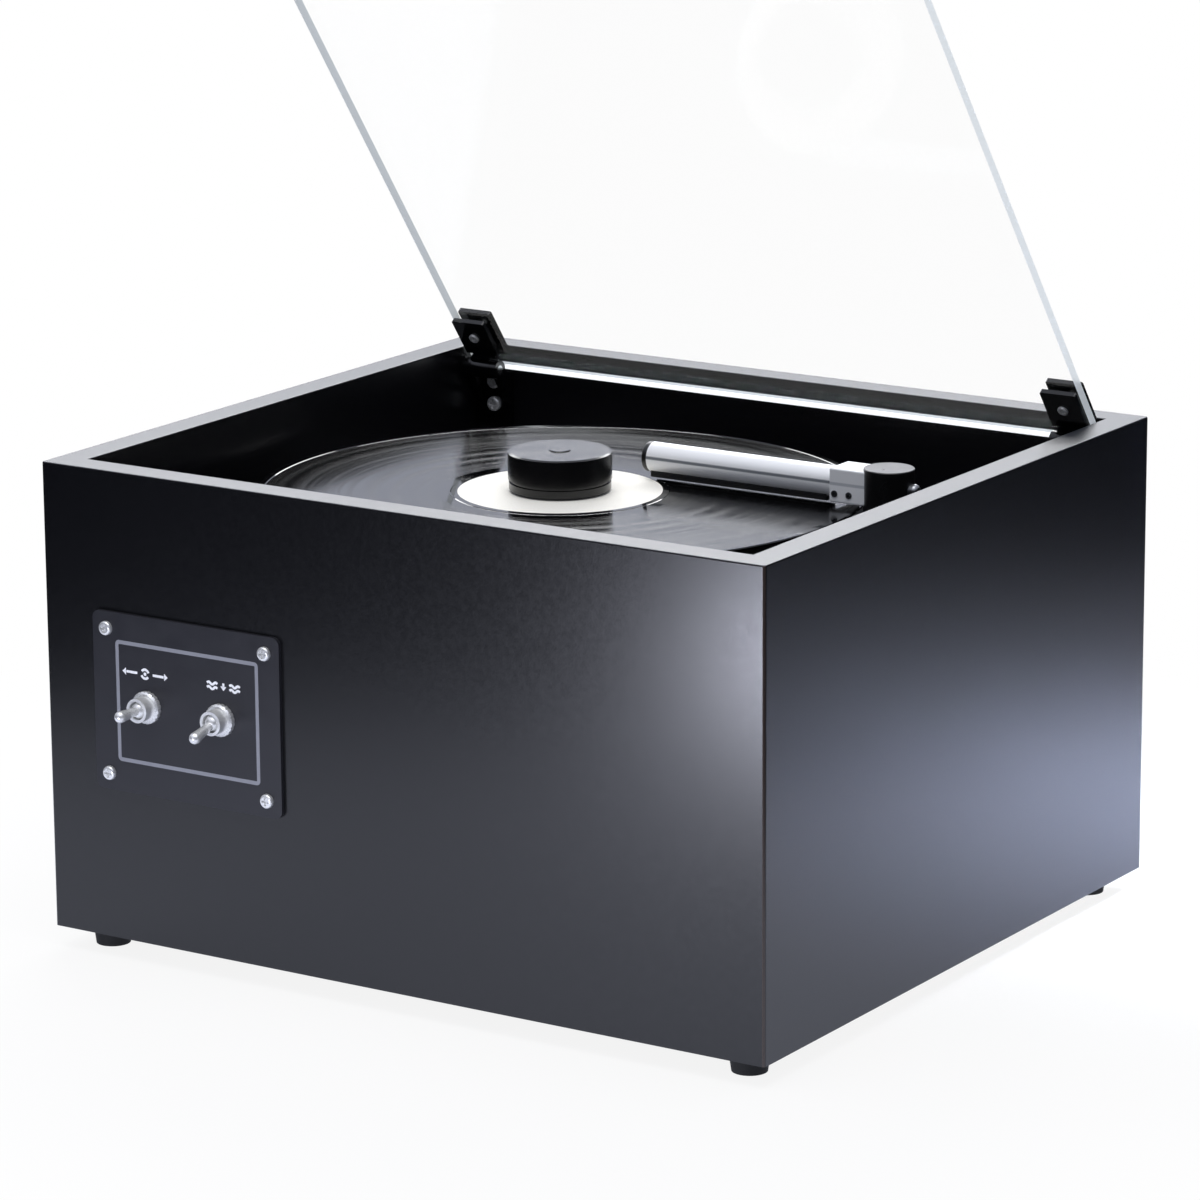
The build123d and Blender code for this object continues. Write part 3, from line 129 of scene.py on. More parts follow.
def ramp(
    tree: bpy.types.NodeTree, source: bpy.types.NodeSocket, span: Point, ends: Sequence[Any]
) -> bpy.types.NodeSocket:
    """Map a value to a run between two levels or two colours.

    Args:
        tree: The node tree that gets the ramp.
        source: The value that is mapped.
        span: The values at which the run starts and ends.
        ends: What it starts and ends with, each a grey level or a linear colour.

    Returns:
        The ramp's colour output.
    """
    node = add_node(tree, "ShaderNodeValToRGB", links={0: source})
    for element, position, value in zip(node.color_ramp.elements, span, ends):
        element.position = position
        element.color = value if isinstance(value, tuple) else (value, value, value, 1.0)
    return node.outputs["Color"]


# ------------------------------------------------------------------ finishes
@dataclass(frozen=True)
class Finish:
    """One real finish, made once as a material and shared by the pieces that have it.

    Its texture is depth_mm deep, and a share of that shows. Its roughness goes down by
    smoother and up by rougher where it follows a pattern.
    """

    title: str = "plain"
    colour: str = "#808080"
    roughness: float = 0.5
    metallic: float = 0.0
    depth_mm: float = 0.004
    share: float = 0.5
    smoother: float = 0.04
    rougher: float = 0.06

    def material(self) -> bpy.types.Material:
        """Return the finish's material, made on first use."""
        name = f"{self.title}_finish"
        made = bpy.data.materials.get(name)
        if made is None:
            made = bpy.data.materials.new(name)
            made.use_nodes = True
            tree = made.node_tree
            shader = tree.nodes["Principled BSDF"]
            shader.inputs["Base Color"].default_value = linear(self.colour)
            shader.inputs["Roughness"].default_value = self.roughness
            shader.inputs["Metallic"].default_value = self.metallic
            self.shade(tree, shader)
        return made

    def shade(self, tree: bpy.types.NodeTree, shader: bpy.types.Node) -> None:
        """Add what the surface shows beyond its plain colour.

        Args:
            tree: The material's node tree.
            shader: Its Principled node.
        """

    def place(self, tree: bpy.types.NodeTree) -> bpy.types.NodeSocket:
        """Return the socket with the point in the part's frame, in metres."""
        return add_node(tree, "ShaderNodeTexCoord").outputs["Object"]

    def grain(
        self,
        tree: bpy.types.NodeTree,
        size_mm: float,
        detail: float = 2.0,
        stretch: Sequence[float] = (1, 1, 1),
    ) -> bpy.types.NodeSocket:
        """Make a cloudy pattern with lumps of a real size.

        Args:
            tree: The material's node tree.
            size_mm: Width of a lump.
            detail: Finer layers over it.
            stretch: How many times longer a lump is along each axis.

        Returns:
            The pattern's value, from 0 to 1.
        """
        squeeze = tuple(1 / s for s in stretch)
        mapping = add_node(
            tree, "ShaderNodeMapping", {"Scale": squeeze}, {"Vector": self.place(tree)}
        )
        noise = add_node(
            tree,
            "ShaderNodeTexNoise",
            {"Scale": 1 / (size_mm * MM), "Detail": detail},
            {"Vector": mapping.outputs[0]},
        )
        return noise.outputs["Fac"]

    def bump(
        self, tree: bpy.types.NodeTree, shader: bpy.types.Node, height: bpy.types.NodeSocket
    ) -> None:
        """Raise the surface by a height pattern, as deep as the finish's texture.

        Args:
            tree: The material's node tree.
            shader: Its Principled node.
            height: The pattern, from 0 to 1.
        """
        node = add_node(
            tree,
            "ShaderNodeBump",
            {"Strength": self.share, "Distance": self.depth_mm * MM},
            {"Height": height},
        )
        tree.links.new(node.outputs[0], shader.inputs["Normal"])

    def gloss(
        self, tree: bpy.types.NodeTree, value: bpy.types.NodeSocket, span: Point = CLOUD
    ) -> bpy.types.NodeSocket:
        """Map a pattern to the finish's roughness.

        Args:
            tree: The material's node tree.
            value: The pattern, from 0 to 1.
            span: The pattern's values that are smoothest and roughest.

        Returns:
            The roughness.
        """
        ends = (self.roughness - self.smoother, self.roughness + self.rougher)
        return ramp(tree, value, span, ends)

    def vary(
        self, tree: bpy.types.NodeTree, shader: bpy.types.Node, value: bpy.types.NodeSocket
    ) -> None:
        """Let the roughness follow a pattern.

        Args:
            tree: The material's node tree.
            shader: Its Principled node.
            value: The pattern, from 0 to 1.
        """
        tree.links.new(self.gloss(tree, value), shader.inputs["Roughness"])

    def dress(self, pieces: Iterable[bpy.types.Object]) -> None:
        """Put the finish on pieces, in place of what they carry.

        Args:
            pieces: Objects of the scene.
        """
        for piece in pieces:
            piece.data.materials.clear()
            piece.data.materials.append(self.material())


@dataclass(frozen=True)
class MottledFinish(Finish):
    """A finish whose colour goes between a dark and a pale shade with its texture."""

    dark: str = "#707070"
    pale: str = "#909090"
    span: Point = CLOUD

    def mottle(
        self, tree: bpy.types.NodeTree, shader: bpy.types.Node, value: bpy.types.NodeSocket
    ) -> None:
        """Let the colour and the surface follow a pattern.

        Args:
            tree: The material's node tree.
            shader: Its Principled node.
            value: The pattern, from 0 to 1.
        """
        shades = ramp(tree, value, self.span, (linear(self.dark), linear(self.pale)))
        tree.links.new(shades, shader.inputs["Base Color"])
        self.bump(tree, shader, value)


@dataclass(frozen=True)
class SatinLaminate(Finish):
    """Black melamine laminate on fibreboard, pressed with a fine pebble texture."""

    title: str = "satin_laminate"
    colour: str = "#0a0a0d"
    roughness: float = 0.25
    depth_mm: float = 0.035
    share: float = 0.7
    smoother: float = 0.015
    rougher: float = 0.02
    index: float = 1.6
    pebble_mm: float = 0.9
    patch_mm: float = 2.4
    corner: Point = (0.0, 0.0)
    corner_line_mm: float = 0.9
    edge_colour: str = "#3a302b"
    # paler colour of the upward faces: a painted sheen where the rim tops catch the light
    painted_top_sheen_colour: str = "#202328"
    top_roughness: float = 0.37

    def shade(self, tree: bpy.types.NodeTree, shader: bpy.types.Node) -> None:
        """Pebbles break up the sheen, the upward faces are rougher with a painted paler sheen, and
        a brown line runs down the front corner.
        """
        shader.inputs["IOR"].default_value = self.index
        # the pebbles of a real sheet are about 0.3 mm; they are drawn coarser, to show
        self.bump(tree, shader, self.grain(tree, self.pebble_mm, 3.0))
        gloss = self.gloss(tree, self.grain(tree, self.patch_mm))
        normal = add_node(tree, "ShaderNodeTexCoord").outputs["Normal"]
        facing = add_node(tree, "ShaderNodeSeparateXYZ", links={0: normal})
        facing_up = add_node(
            tree,
            "ShaderNodeMath",
            {"operation": "GREATER_THAN", 1: FACING},
            {0: facing.outputs["Z"]},
        )
        rough = add_node(
            tree,
            "ShaderNodeMix",
            {"data_type": "FLOAT", 3: self.top_roughness},
            {0: facing_up.outputs[0], 2: gloss},
        )
        tree.links.new(rough.outputs[0], shader.inputs["Roughness"])
        # the upward faces take the paler colour, a painted sheen
        mix = add_node(
            tree,
            "ShaderNodeMix",
            {"data_type": "RGBA", 7: linear(self.painted_top_sheen_colour)},
            {0: facing_up.outputs[0], 6: self.sides(tree)},
        )
        tree.links.new(mix.outputs[2], shader.inputs["Base Color"])

    def sides(self, tree: bpy.types.NodeTree) -> bpy.types.NodeSocket:
        """Colour the sides, with a brown line along the front right corner.

        Args:
            tree: The material's node tree.

        Returns:
            The sides' colour.
        """
        point = add_node(tree, "ShaderNodeSeparateXYZ", links={0: self.place(tree)})
        near = []
        for axis, at in zip("XY", self.corner):
            gap = add_node(
                tree,
                "ShaderNodeMath",
                {"operation": "SUBTRACT", 1: at},
                {0: point.outputs[axis]},
            )
            away = add_node(
                tree, "ShaderNodeMath", {"operation": "ABSOLUTE"}, {0: gap.outputs[0]}
            )
            close = add_node(
                tree,
                "ShaderNodeMath",
                {"operation": "LESS_THAN", 1: self.corner_line_mm * MM},
                {0: away.outputs[0]},
            )
            near.append(close.outputs[0])
        both = add_node(tree, "ShaderNodeMath", {"operation": "MULTIPLY"}, dict(enumerate(near)))
        mix = add_node(
            tree,
            "ShaderNodeMix",
            {"data_type": "RGBA", 6: linear(self.colour), 7: linear(self.edge_colour)},
            {0: both.outputs[0]},
        )
        return mix.outputs[2]


@dataclass(frozen=True)
class RawBoard(MottledFinish):
    """Medium density fibreboard, sawn and unpainted."""

    title: str = "raw_fibreboard"
    colour: str = "#8a6b4a"
    roughness: float = 0.85
    depth_mm: float = 0.15
    share: float = 0.6
    dark: str = "#6f5436"
    pale: str = "#a08058"
    fibre_mm: float = 0.8

    def shade(self, tree: bpy.types.NodeTree, shader: bpy.types.Node) -> None:
        """Short pale and dark fibres with a matte, slightly furry face."""
        self.mottle(tree, shader, self.grain(tree, self.fibre_mm, 4.0, (3, 3, 1)))


@dataclass(frozen=True)
class Rubber(MottledFinish):
    """Black moulded rubber with a dusty, dull skin."""

    title: str = "black_rubber"
    colour: str = "#111111"
    roughness: float = 0.72
    depth_mm: float = 0.05
    dark: str = "#0c0c0c"
    pale: str = "#1d1d1d"
    span: Point = (0.35, 0.75)
    speck_mm: float = 0.9

    def shade(self, tree: bpy.types.NodeTree, shader: bpy.types.Node) -> None:
        """Soft dull skin with a faint mottle from the mould."""
        self.mottle(tree, shader, self.grain(tree, self.speck_mm, 3.0))


@dataclass(frozen=True)
class MouldedPlastic(Finish):
    """Injection moulded plastic with a spark-eroded texture."""

    title: str = "black_moulding"
    colour: str = "#141416"
    roughness: float = 0.48
    depth_mm: float = 0.03
    spark_mm: float = 0.7

    def shade(self, tree: bpy.types.NodeTree, shader: bpy.types.Node) -> None:
        """An even fine stipple that softens the highlights."""
        stipple = self.grain(tree, self.spark_mm)
        self.bump(tree, shader, stipple)
        self.vary(tree, shader, stipple)


@dataclass(frozen=True)
class TurnedAcetal(Finish):
    """Black acetal turned on a lathe and left with its fine tool marks."""

    title: str = "turned_acetal"
    colour: str = "#0b0b0c"
    roughness: float = 0.2
    depth_mm: float = 0.002
    share: float = 0.3
    smoother: float = 0.03
    rougher: float = 0.05
    middle: Point = (0.0, 0.0)
    feed_mm: float = 1.2
    wander: float = 0.4
    handled_mm: float = 14.0

    def shade(self, tree: bpy.types.NodeTree, shader: bpy.types.Node) -> None:
        """Rings from the lathe on the flat top, and broad patches where it is handled."""
        centre = add_node(
            tree,
            "ShaderNodeMapping",
            {"Location": (-self.middle[0], -self.middle[1], 0.0)},
            {"Vector": self.place(tree)},
        )
        # a feed of 0.1 mm is too fine to draw, so the rings stand 1.2 mm apart
        rings = add_node(
            tree,
            "ShaderNodeTexWave",
            {
                "wave_type": "RINGS",
                "rings_direction": "Z",
                "Scale": math.tau / (20 * self.feed_mm * MM),
                "Distortion": self.wander,
            },
            {"Vector": centre.outputs[0]},
        )
        self.bump(tree, shader, rings.outputs["Fac"])
        self.vary(tree, shader, self.grain(tree, self.handled_mm))


@dataclass(frozen=True)
class PressedVinyl(Finish):
    """Black PVC pressed with a spiral groove, and left smooth near the label and at the rim."""

    title: str = "pressed_vinyl"
    colour: str = "#050506"
    roughness: float = 0.15
    rougher: float = 0.05
    middle: Point = (0.0, 0.0)
    grooves_from_mm: float = 60.0
    grooves_to_mm: float = 146.0
    band_mm: float = 6.0
    band_span: Point = (0.35, 0.65)
    smooth_roughness: float = 0.05
    smear: float = 0.6
    smear_turn: float = 0.25

    def shade(self, tree: bpy.types.NodeTree, shader: bpy.types.Node) -> None:
        """Grooves smear the reflections one way, in rings of slightly different gloss."""
        flat = add_node(
            tree,
            "ShaderNodeMapping",
            {"Location": (-self.middle[0], -self.middle[1], 0.0), "Scale": (1, 1, 0)},
            {"Vector": self.place(tree)},
        )
        radius = add_node(
            tree, "ShaderNodeVectorMath", {"operation": "LENGTH"}, {0: flat.outputs[0]}
        )
        out = radius.outputs["Value"]
        inside = []
        for side, edge_mm in (
            ("GREATER_THAN", self.grooves_from_mm),
            ("LESS_THAN", self.grooves_to_mm),
        ):
            within = add_node(
                tree, "ShaderNodeMath", {"operation": side, 1: edge_mm * MM}, {0: out}
            )
            inside.append(within.outputs[0])
        cut = add_node(tree, "ShaderNodeMath", {"operation": "MULTIPLY"}, dict(enumerate(inside)))
        # real grooves lie 0.1 mm apart, too fine to draw, so only the bands between tracks are
        bands = add_node(
            tree,
            "ShaderNodeTexNoise",
            {"noise_dimensions": "1D", "Scale": 1 / (self.band_mm * MM), "Detail": 3.0},
            {"W": out},
        )
        rough = add_node(
            tree,
            "ShaderNodeMix",
            {"data_type": "FLOAT", 2: self.smooth_roughness},
            {0: cut.outputs[0], 3: self.gloss(tree, bands.outputs["Fac"], self.band_span)},
        )
        tree.links.new(rough.outputs[0], shader.inputs["Roughness"])
        shader.inputs["Anisotropic"].default_value = self.smear
        shader.inputs["Anisotropic Rotation"].default_value = self.smear_turn
        around = add_node(tree, "ShaderNodeTangent", {"direction_type": "RADIAL", "axis": "Z"})
        tree.links.new(around.outputs[0], shader.inputs["Tangent"])


@dataclass(frozen=True)
class LabelPaper(MottledFinish):
    """Uncoated cream paper, pressed flat into the disc."""

    title: str = "label_paper"
    colour: str = "#f3f0e6"
    roughness: float = 0.7
    depth_mm: float = 0.01
    share: float = 0.4
    dark: str = "#ece8dc"
    pale: str = "#f7f5ee"
    fibre_mm: float = 0.5

    def shade(self, tree: bpy.types.NodeTree, shader: bpy.types.Node) -> None:
        """A matte page with the faintest fibre."""
        self.mottle(tree, shader, self.grain(tree, self.fibre_mm, 4.0, (2, 1, 1)))


@dataclass(frozen=True)
class BareMetal(Finish):
    """A bare or plated metal with the marks of how it was worked."""

    title: str = "zinc_plate"
    colour: str = "#b9bbbd"
    roughness: float = 0.32
    metallic: float = 1.0
    smoother: float = 0.05
    mark_mm: float = 0.4

    def shade(self, tree: bpy.types.NodeTree, shader: bpy.types.Node) -> None:
        """Fine marks from working the metal, which spread its highlights."""
        marks = self.grain(tree, self.mark_mm, 3.0)
        self.bump(tree, shader, marks)
        self.vary(tree, shader, marks)


@dataclass(frozen=True)
class SatinTube(Finish):
    """Drawn aluminium tube, bead blasted and clear anodised, with a painted dark reflection line
    along its front.
    """

    title: str = "blasted_aluminium"
    colour: str = "#f4f5f6"
    roughness: float = 0.38
    metallic: float = 0.15
    middle: Point = (0.0, 0.0)
    painted_reflection_rise_mm: float = 0.9
    painted_reflection_mm: float = 1.1
    painted_reflection_core: float = 0.35
    painted_reflection_colour: str = "#7c8186"
    blast_mm: float = 0.5

    def shade(self, tree: bpy.types.NodeTree, shader: bpy.types.Node) -> None:
        """A soft white sheen with the finest grit, and a painted dark reflection line at the
        front.
        """
        self.bump(tree, shader, self.grain(tree, self.blast_mm))
        # a narrow dark line along the front, a little above the axis: a painted reflection of a
        # dark horizon
        point = add_node(tree, "ShaderNodeSeparateXYZ", links={0: self.place(tree)})
        rise = add_node(
            tree,
            "ShaderNodeMath",
            {"operation": "SUBTRACT", 1: self.middle[1] + self.painted_reflection_rise_mm * MM},
            {0: point.outputs["Z"]},
        )
        off = add_node(tree, "ShaderNodeMath", {"operation": "ABSOLUTE"}, {0: rise.outputs[0]})
        near = add_node(
            tree,
            "ShaderNodeMapRange",
            {
                "interpolation_type": "SMOOTHSTEP",
                1: self.painted_reflection_mm * MM,
                2: self.painted_reflection_mm * self.painted_reflection_core * MM,
                3: 0.0,
                4: 1.0,
            },
            {0: off.outputs[0]},
        )
        front = add_node(
            tree,
            "ShaderNodeMath",
            {"operation": "LESS_THAN", 1: self.middle[0]},
            {0: point.outputs["Y"]},
        )
        painted_reflection = add_node(
            tree,
            "ShaderNodeMath",
            {"operation": "MULTIPLY"},
            {0: near.outputs[0], 1: front.outputs[0]},
        )
        mix = add_node(
            tree,
            "ShaderNodeMix",
            {"data_type": "RGBA", 6: linear(self.colour), 7: linear(self.painted_reflection_colour)},
            {0: painted_reflection.outputs[0]},
        )
        tree.links.new(mix.outputs[2], shader.inputs["Base Color"])


@dataclass(frozen=True)
class ClearAcrylic(Finish):
    """Cast acrylic sheet: polished faces, and sawn edges with a painted glow."""

    title: str = "clear_acrylic"
    colour: str = "#ffffff"
    roughness: float = 0.0
    index: float = 1.49
    film: float = 0.03
    tilt: float = 0.0
    pivot: Place = (0.0, 0.0, 0.0)
    tail_mm: float = 5.5
    glow_mm: float = 0.8
    depth: float = 0.0
    side_colour: str = "#d3d9dc"
    side_roughness: float = 0.45
    side_clear: float = 0.4
    # emission of the sawn sides: a painted glow
    painted_side_glow: float = 0.4
    end_colour: str = "#f4f7f8"
    end_roughness: float = 0.35
    # colour and strength of the painted glow on the hinged end
    painted_end_glow_colour: str = "#eef3f5"
    painted_end_glow: float = 0.9

    def through(self) -> Vector:
        """Return the way through the sheet, from its inner to its outer face."""
        return Vector((0.0, math.sin(self.tilt), math.cos(self.tilt)))

    def along(self) -> Vector:
        """Return the way along the sheet, from its hinged to its free edge."""
        return Vector((0.0, -math.cos(self.tilt), math.sin(self.tilt)))

    def shade(self, tree: bpy.types.NodeTree, shader: bpy.types.Node) -> None:
        """Clear faces, pale sawn sides with a faint painted glow, and a painted white glow on the
        hinged end.
        """
        shader.inputs["Transmission Weight"].default_value = 1.0
        shader.inputs["IOR"].default_value = self.index
        shader.inputs["Alpha"].default_value = self.film
        # the sawn sides glow faintly: painted light
        sawn = add_node(
            tree,
            "ShaderNodeBsdfPrincipled",
            {
                "Base Color": linear(self.side_colour),
                "Roughness": self.side_roughness,
                "Transmission Weight": self.side_clear,
                "Emission Color": linear(self.side_colour),
                "Emission Strength": self.painted_side_glow,
            },
        )
        # the hinged end glows white: painted light, an emission on a part that is no lamp
        glowing_end = add_node(
            tree,
            "ShaderNodeBsdfPrincipled",
            {
                "Base Color": linear(self.end_colour),
                "Roughness": self.end_roughness,
                "Emission Color": linear(self.painted_end_glow_colour),
                "Emission Strength": self.painted_end_glow,
            },
        )
        sides = add_node(
            tree,
            "ShaderNodeMixShader",
            links={0: self.edges(tree), 1: shader.outputs[0], 2: sawn.outputs[0]},
        )
        whole = add_node(
            tree,
            "ShaderNodeMixShader",
            links={0: self.painted_glow_mask(tree), 1: sides.outputs[0], 2: glowing_end.outputs[0]},
        )
        tree.links.new(whole.outputs[0], tree.nodes["Material Output"].inputs["Surface"])

    def edges(self, tree: bpy.types.NodeTree) -> bpy.types.NodeSocket:
        """Return one on the sheet's four narrow sides and zero on its two faces."""
        normal = add_node(tree, "ShaderNodeTexCoord").outputs["Normal"]
        facing = add_node(
            tree,
            "ShaderNodeVectorMath",
            {"operation": "DOT_PRODUCT", 1: self.through()},
            {0: normal},
        )
        level = add_node(
            tree, "ShaderNodeMath", {"operation": "ABSOLUTE"}, {0: facing.outputs["Value"]}
        )
        edge = add_node(
            tree,
            "ShaderNodeMath",
            {"operation": "LESS_THAN", 1: FACING},
            {0: level.outputs[0]},
        )
        return edge.outputs[0]

    def painted_glow_mask(self, tree: bpy.types.NodeTree) -> bpy.types.NodeSocket:
        """Return one on the inner part of the end behind the hinge, where the painted glow goes,
        and else zero.
        """
        point = self.place(tree)
        limit = self.along().dot(Vector(self.pivot)) + (self.glow_mm - self.tail_mm) * MM
        inside = []
        for way, most in ((self.along(), limit), (self.through(), self.depth)):
            reach = add_node(
                tree,
                "ShaderNodeVectorMath",
                {"operation": "DOT_PRODUCT", 1: way},
                {0: point},
            )
            below = add_node(
                tree,
                "ShaderNodeMath",
                {"operation": "LESS_THAN", 1: most},
                {0: reach.outputs["Value"]},
            )
            inside.append(below.outputs[0])
        both = add_node(tree, "ShaderNodeMath", {"operation": "MULTIPLY"}, dict(enumerate(inside)))
        return both.outputs[0]


@dataclass(frozen=True)
class SatinEnamel(Finish):
    """Black stoved enamel on metal, smooth with a slight orange peel."""

    title: str = "satin_enamel"
    colour: str = "#101013"
    roughness: float = 0.3
    depth_mm: float = 0.02
    peel_mm: float = 2.2
    patch_mm: float = 9.0

    def shade(self, tree: bpy.types.NodeTree, shader: bpy.types.Node) -> None:
        """Slow ripples that wobble the reflections a little."""
        self.bump(tree, shader, self.grain(tree, self.peel_mm, 1.0))
        self.vary(tree, shader, self.grain(tree, self.patch_mm, 3.0))


@dataclass(frozen=True)
class ScreenInk(Finish):
    """Pale screen-printing ink, laid thin on the enamel."""

    title: str = "screen_ink"
    colour: str = "#fbfbfa"
    roughness: float = 0.6
    depth_mm: float = 0.006
    mesh_mm: float = 0.35

    def shade(self, tree: bpy.types.NodeTree, shader: bpy.types.Node) -> None:
        """A flat chalky film with the printing mesh just showing."""
        self.bump(tree, shader, self.grain(tree, self.mesh_mm))


@dataclass(frozen=True)
class CottonVelvet(Finish):
    """Black cotton velvet with a dense 1 mm pile."""

    title: str = "cotton_velvet"
    colour: str = "#0a0a0b"
    roughness: float = 0.95
    depth_mm: float = 0.25
    share: float = 0.9
    sheen: float = 0.5
    sheen_roughness: float = 0.4
    tuft_mm: float = 0.35

    def shade(self, tree: bpy.types.NodeTree, shader: bpy.types.Node) -> None:
        """A deep black that pales where the pile is seen edge on."""
        shader.inputs["Sheen Weight"].default_value = self.sheen
        shader.inputs["Sheen Roughness"].default_value = self.sheen_roughness
        self.bump(tree, shader, self.grain(tree, self.tuft_mm, 3.0))


@dataclass(frozen=True)
class MilkyPolythene(Finish):
    """Natural polythene, blow moulded and slightly see-through."""

    title: str = "milky_polythene"
    colour: str = "#e4e3da"
    roughness: float = 0.45
    depth_mm: float = 0.3
    share: float = 0.4
    milk: float = 0.2
    milk_reach: Place = (0.004, 0.004, 0.003)
    ripple_mm: float = 12.0

    def shade(self, tree: bpy.types.NodeTree, shader: bpy.types.Node) -> None:
        """A waxy wall with slow ripples."""
        shader.inputs["Subsurface Weight"].default_value = self.milk
        shader.inputs["Subsurface Radius"].default_value = self.milk_reach
        self.bump(tree, shader, self.grain(tree, self.ripple_mm))


BRIGHT_NICKEL = BareMetal("bright_nickel", "#f6f6f4", roughness=0.3, metallic=0.65)
TURNED_BRASS = BareMetal("turned_brass", "#c9a45c", roughness=0.25)


# ------------------------------------------------------------------ mesh helpers
def new_piece(name: str, mesh: bmesh.types.BMesh, smooth: bool = True) -> bpy.types.Object:
    """Turn a finished bmesh into an object of the scene.

    Args:
        name: The piece's name.
        mesh: Its shape, which is freed.
        smooth: Whether its faces shade smoothly.

    Returns:
        The new object.
    """
    bmesh.ops.recalc_face_normals(mesh, faces=mesh.faces)
    data = bpy.data.meshes.new(name)
    mesh.to_mesh(data)
    mesh.free()
    for polygon in data.polygons:
        polygon.use_smooth = smooth
    piece = bpy.data.objects.new(name, data)
    bpy.context.scene.collection.objects.link(piece)
    return piece


def slab(
    mesh: bmesh.types.BMesh, outline: Sequence[Point], origin: Vector, thick: float
) -> None:
    """Add a flat slab that faces the front, with its back on a plane.

    Args:
        mesh: The shape that it joins.
        outline: Its corners as right and up distances from the origin, in metres.
        origin: The point on the plane that they are counted from.
        thick: How far it stands out to the front.
    """
    back = [mesh.verts.new(origin + Vector((x, 0.0, z))) for x, z in outline]
    front = [mesh.verts.new(v.co + Vector((0.0, -thick, 0.0))) for v in back]
    mesh.faces.new(front)
    mesh.faces.new(list(reversed(back)))
    count = len(outline)
    for i in range(count):
        j = (i + 1) % count
        mesh.faces.new((back[i], back[j], front[j], front[i]))


def arc(middle: Point, radius: float, start: float, end: float, steps: int) -> list[Point]:
    """List points along an arc.

    Args:
        middle: Its centre.
        radius: Its radius.
        start: First angle in degrees.
        end: Last angle in degrees.
        steps: Number of chords.

    Returns:
        The points, ends included.
    """
    angles = [math.radians(start + (end - start) * i / steps) for i in range(steps + 1)]
    return [(middle[0] + radius * math.cos(a), middle[1] + radius * math.sin(a)) for a in angles]


# ------------------------------------------------------------------ sub-assemblies
class Axis(Enum):
    """The part's axes, by their place in a point."""

    RIGHT = 0
    BACK = 1
    UP = 2


@dataclass
class Assembly:
    """A group of the part's nodes that are dressed together."""

    frame: dict[str, Any]

    def nodes(self, *names: str) -> list[bpy.types.Object]:
        """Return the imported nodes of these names."""
        return [self.frame["nodes"][n] for n in names]

    def middle(self, name: str, axis: Axis) -> float:
        """Return the middle of a node's box along one axis."""
        low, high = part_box(name)
        return (low[axis.value] + high[axis.value]) / 2

    def build(self) -> list[str]:
        """Dress the nodes and build the pieces, and return the names of new pieces."""
        return []


@dataclass
class Cabinet(Assembly):
    """The laminated box with its base, deck, feet and lid rests."""

    screw_colour: str = "#c3c5c8"

    def build(self) -> list[str]:
        """Dress the box and return no new pieces."""
        low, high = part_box("front_panel")
        laminate = SatinLaminate(corner=(high.x, low.y))
        laminate.dress(self.nodes("front_panel", "back_panel", "left_side", "right_side"))
        RawBoard().dress(self.nodes("base_panel", "corner_blocks", "deck_cleats"))
        deck = MouldedPlastic("deck_sheet", "#0e0e10", roughness=0.5)
        deck.dress(self.nodes("deck_plate", "lid_rests"))
        Rubber().dress(self.nodes("rubber_feet"))
        BareMetal(colour=self.screw_colour).dress(self.nodes("foot_screws", "deck_screws"))
        return []


@dataclass
class Lid(Assembly):
    """The clear sheet with its two enamelled hinges."""

    # share of the sheet's thickness, from the inner face, that takes the painted glow on the
    # hinged end
    painted_glow_share: float = 0.62

    def build(self) -> list[str]:
        """Dress the lid and return no new pieces."""
        joint = next(j for j in self.frame["joints"] if j["name"] == "lid_hinge")
        tilt = math.radians(-joint["range_deg"][0])
        sheet = self.nodes("lid_sheet")
        acrylic = ClearAcrylic(tilt=tilt, pivot=tuple(joint["pos_m"]))
        reach = [acrylic.through().dot(corner.co) for corner in sheet[0].data.vertices]
        depth = min(reach) + self.painted_glow_share * (max(reach) - min(reach))
        replace(acrylic, depth=depth).dress(sheet)
        SatinEnamel("hinge_enamel", "#050506", roughness=0.14).dress(
            self.nodes(
                "hinge_clamp_left",
                "hinge_clamp_right",
                "hinge_base_left",
                "hinge_base_right",
                "hinge_bars",
            )
        )
        BareMetal("hinge_pin_steel", roughness=0.2).dress(self.nodes("hinge_pins"))
        BRIGHT_NICKEL.dress(
            self.nodes("hinge_screws", "jaw_screws", "plate_screws", "back_screws")
        )
        return []


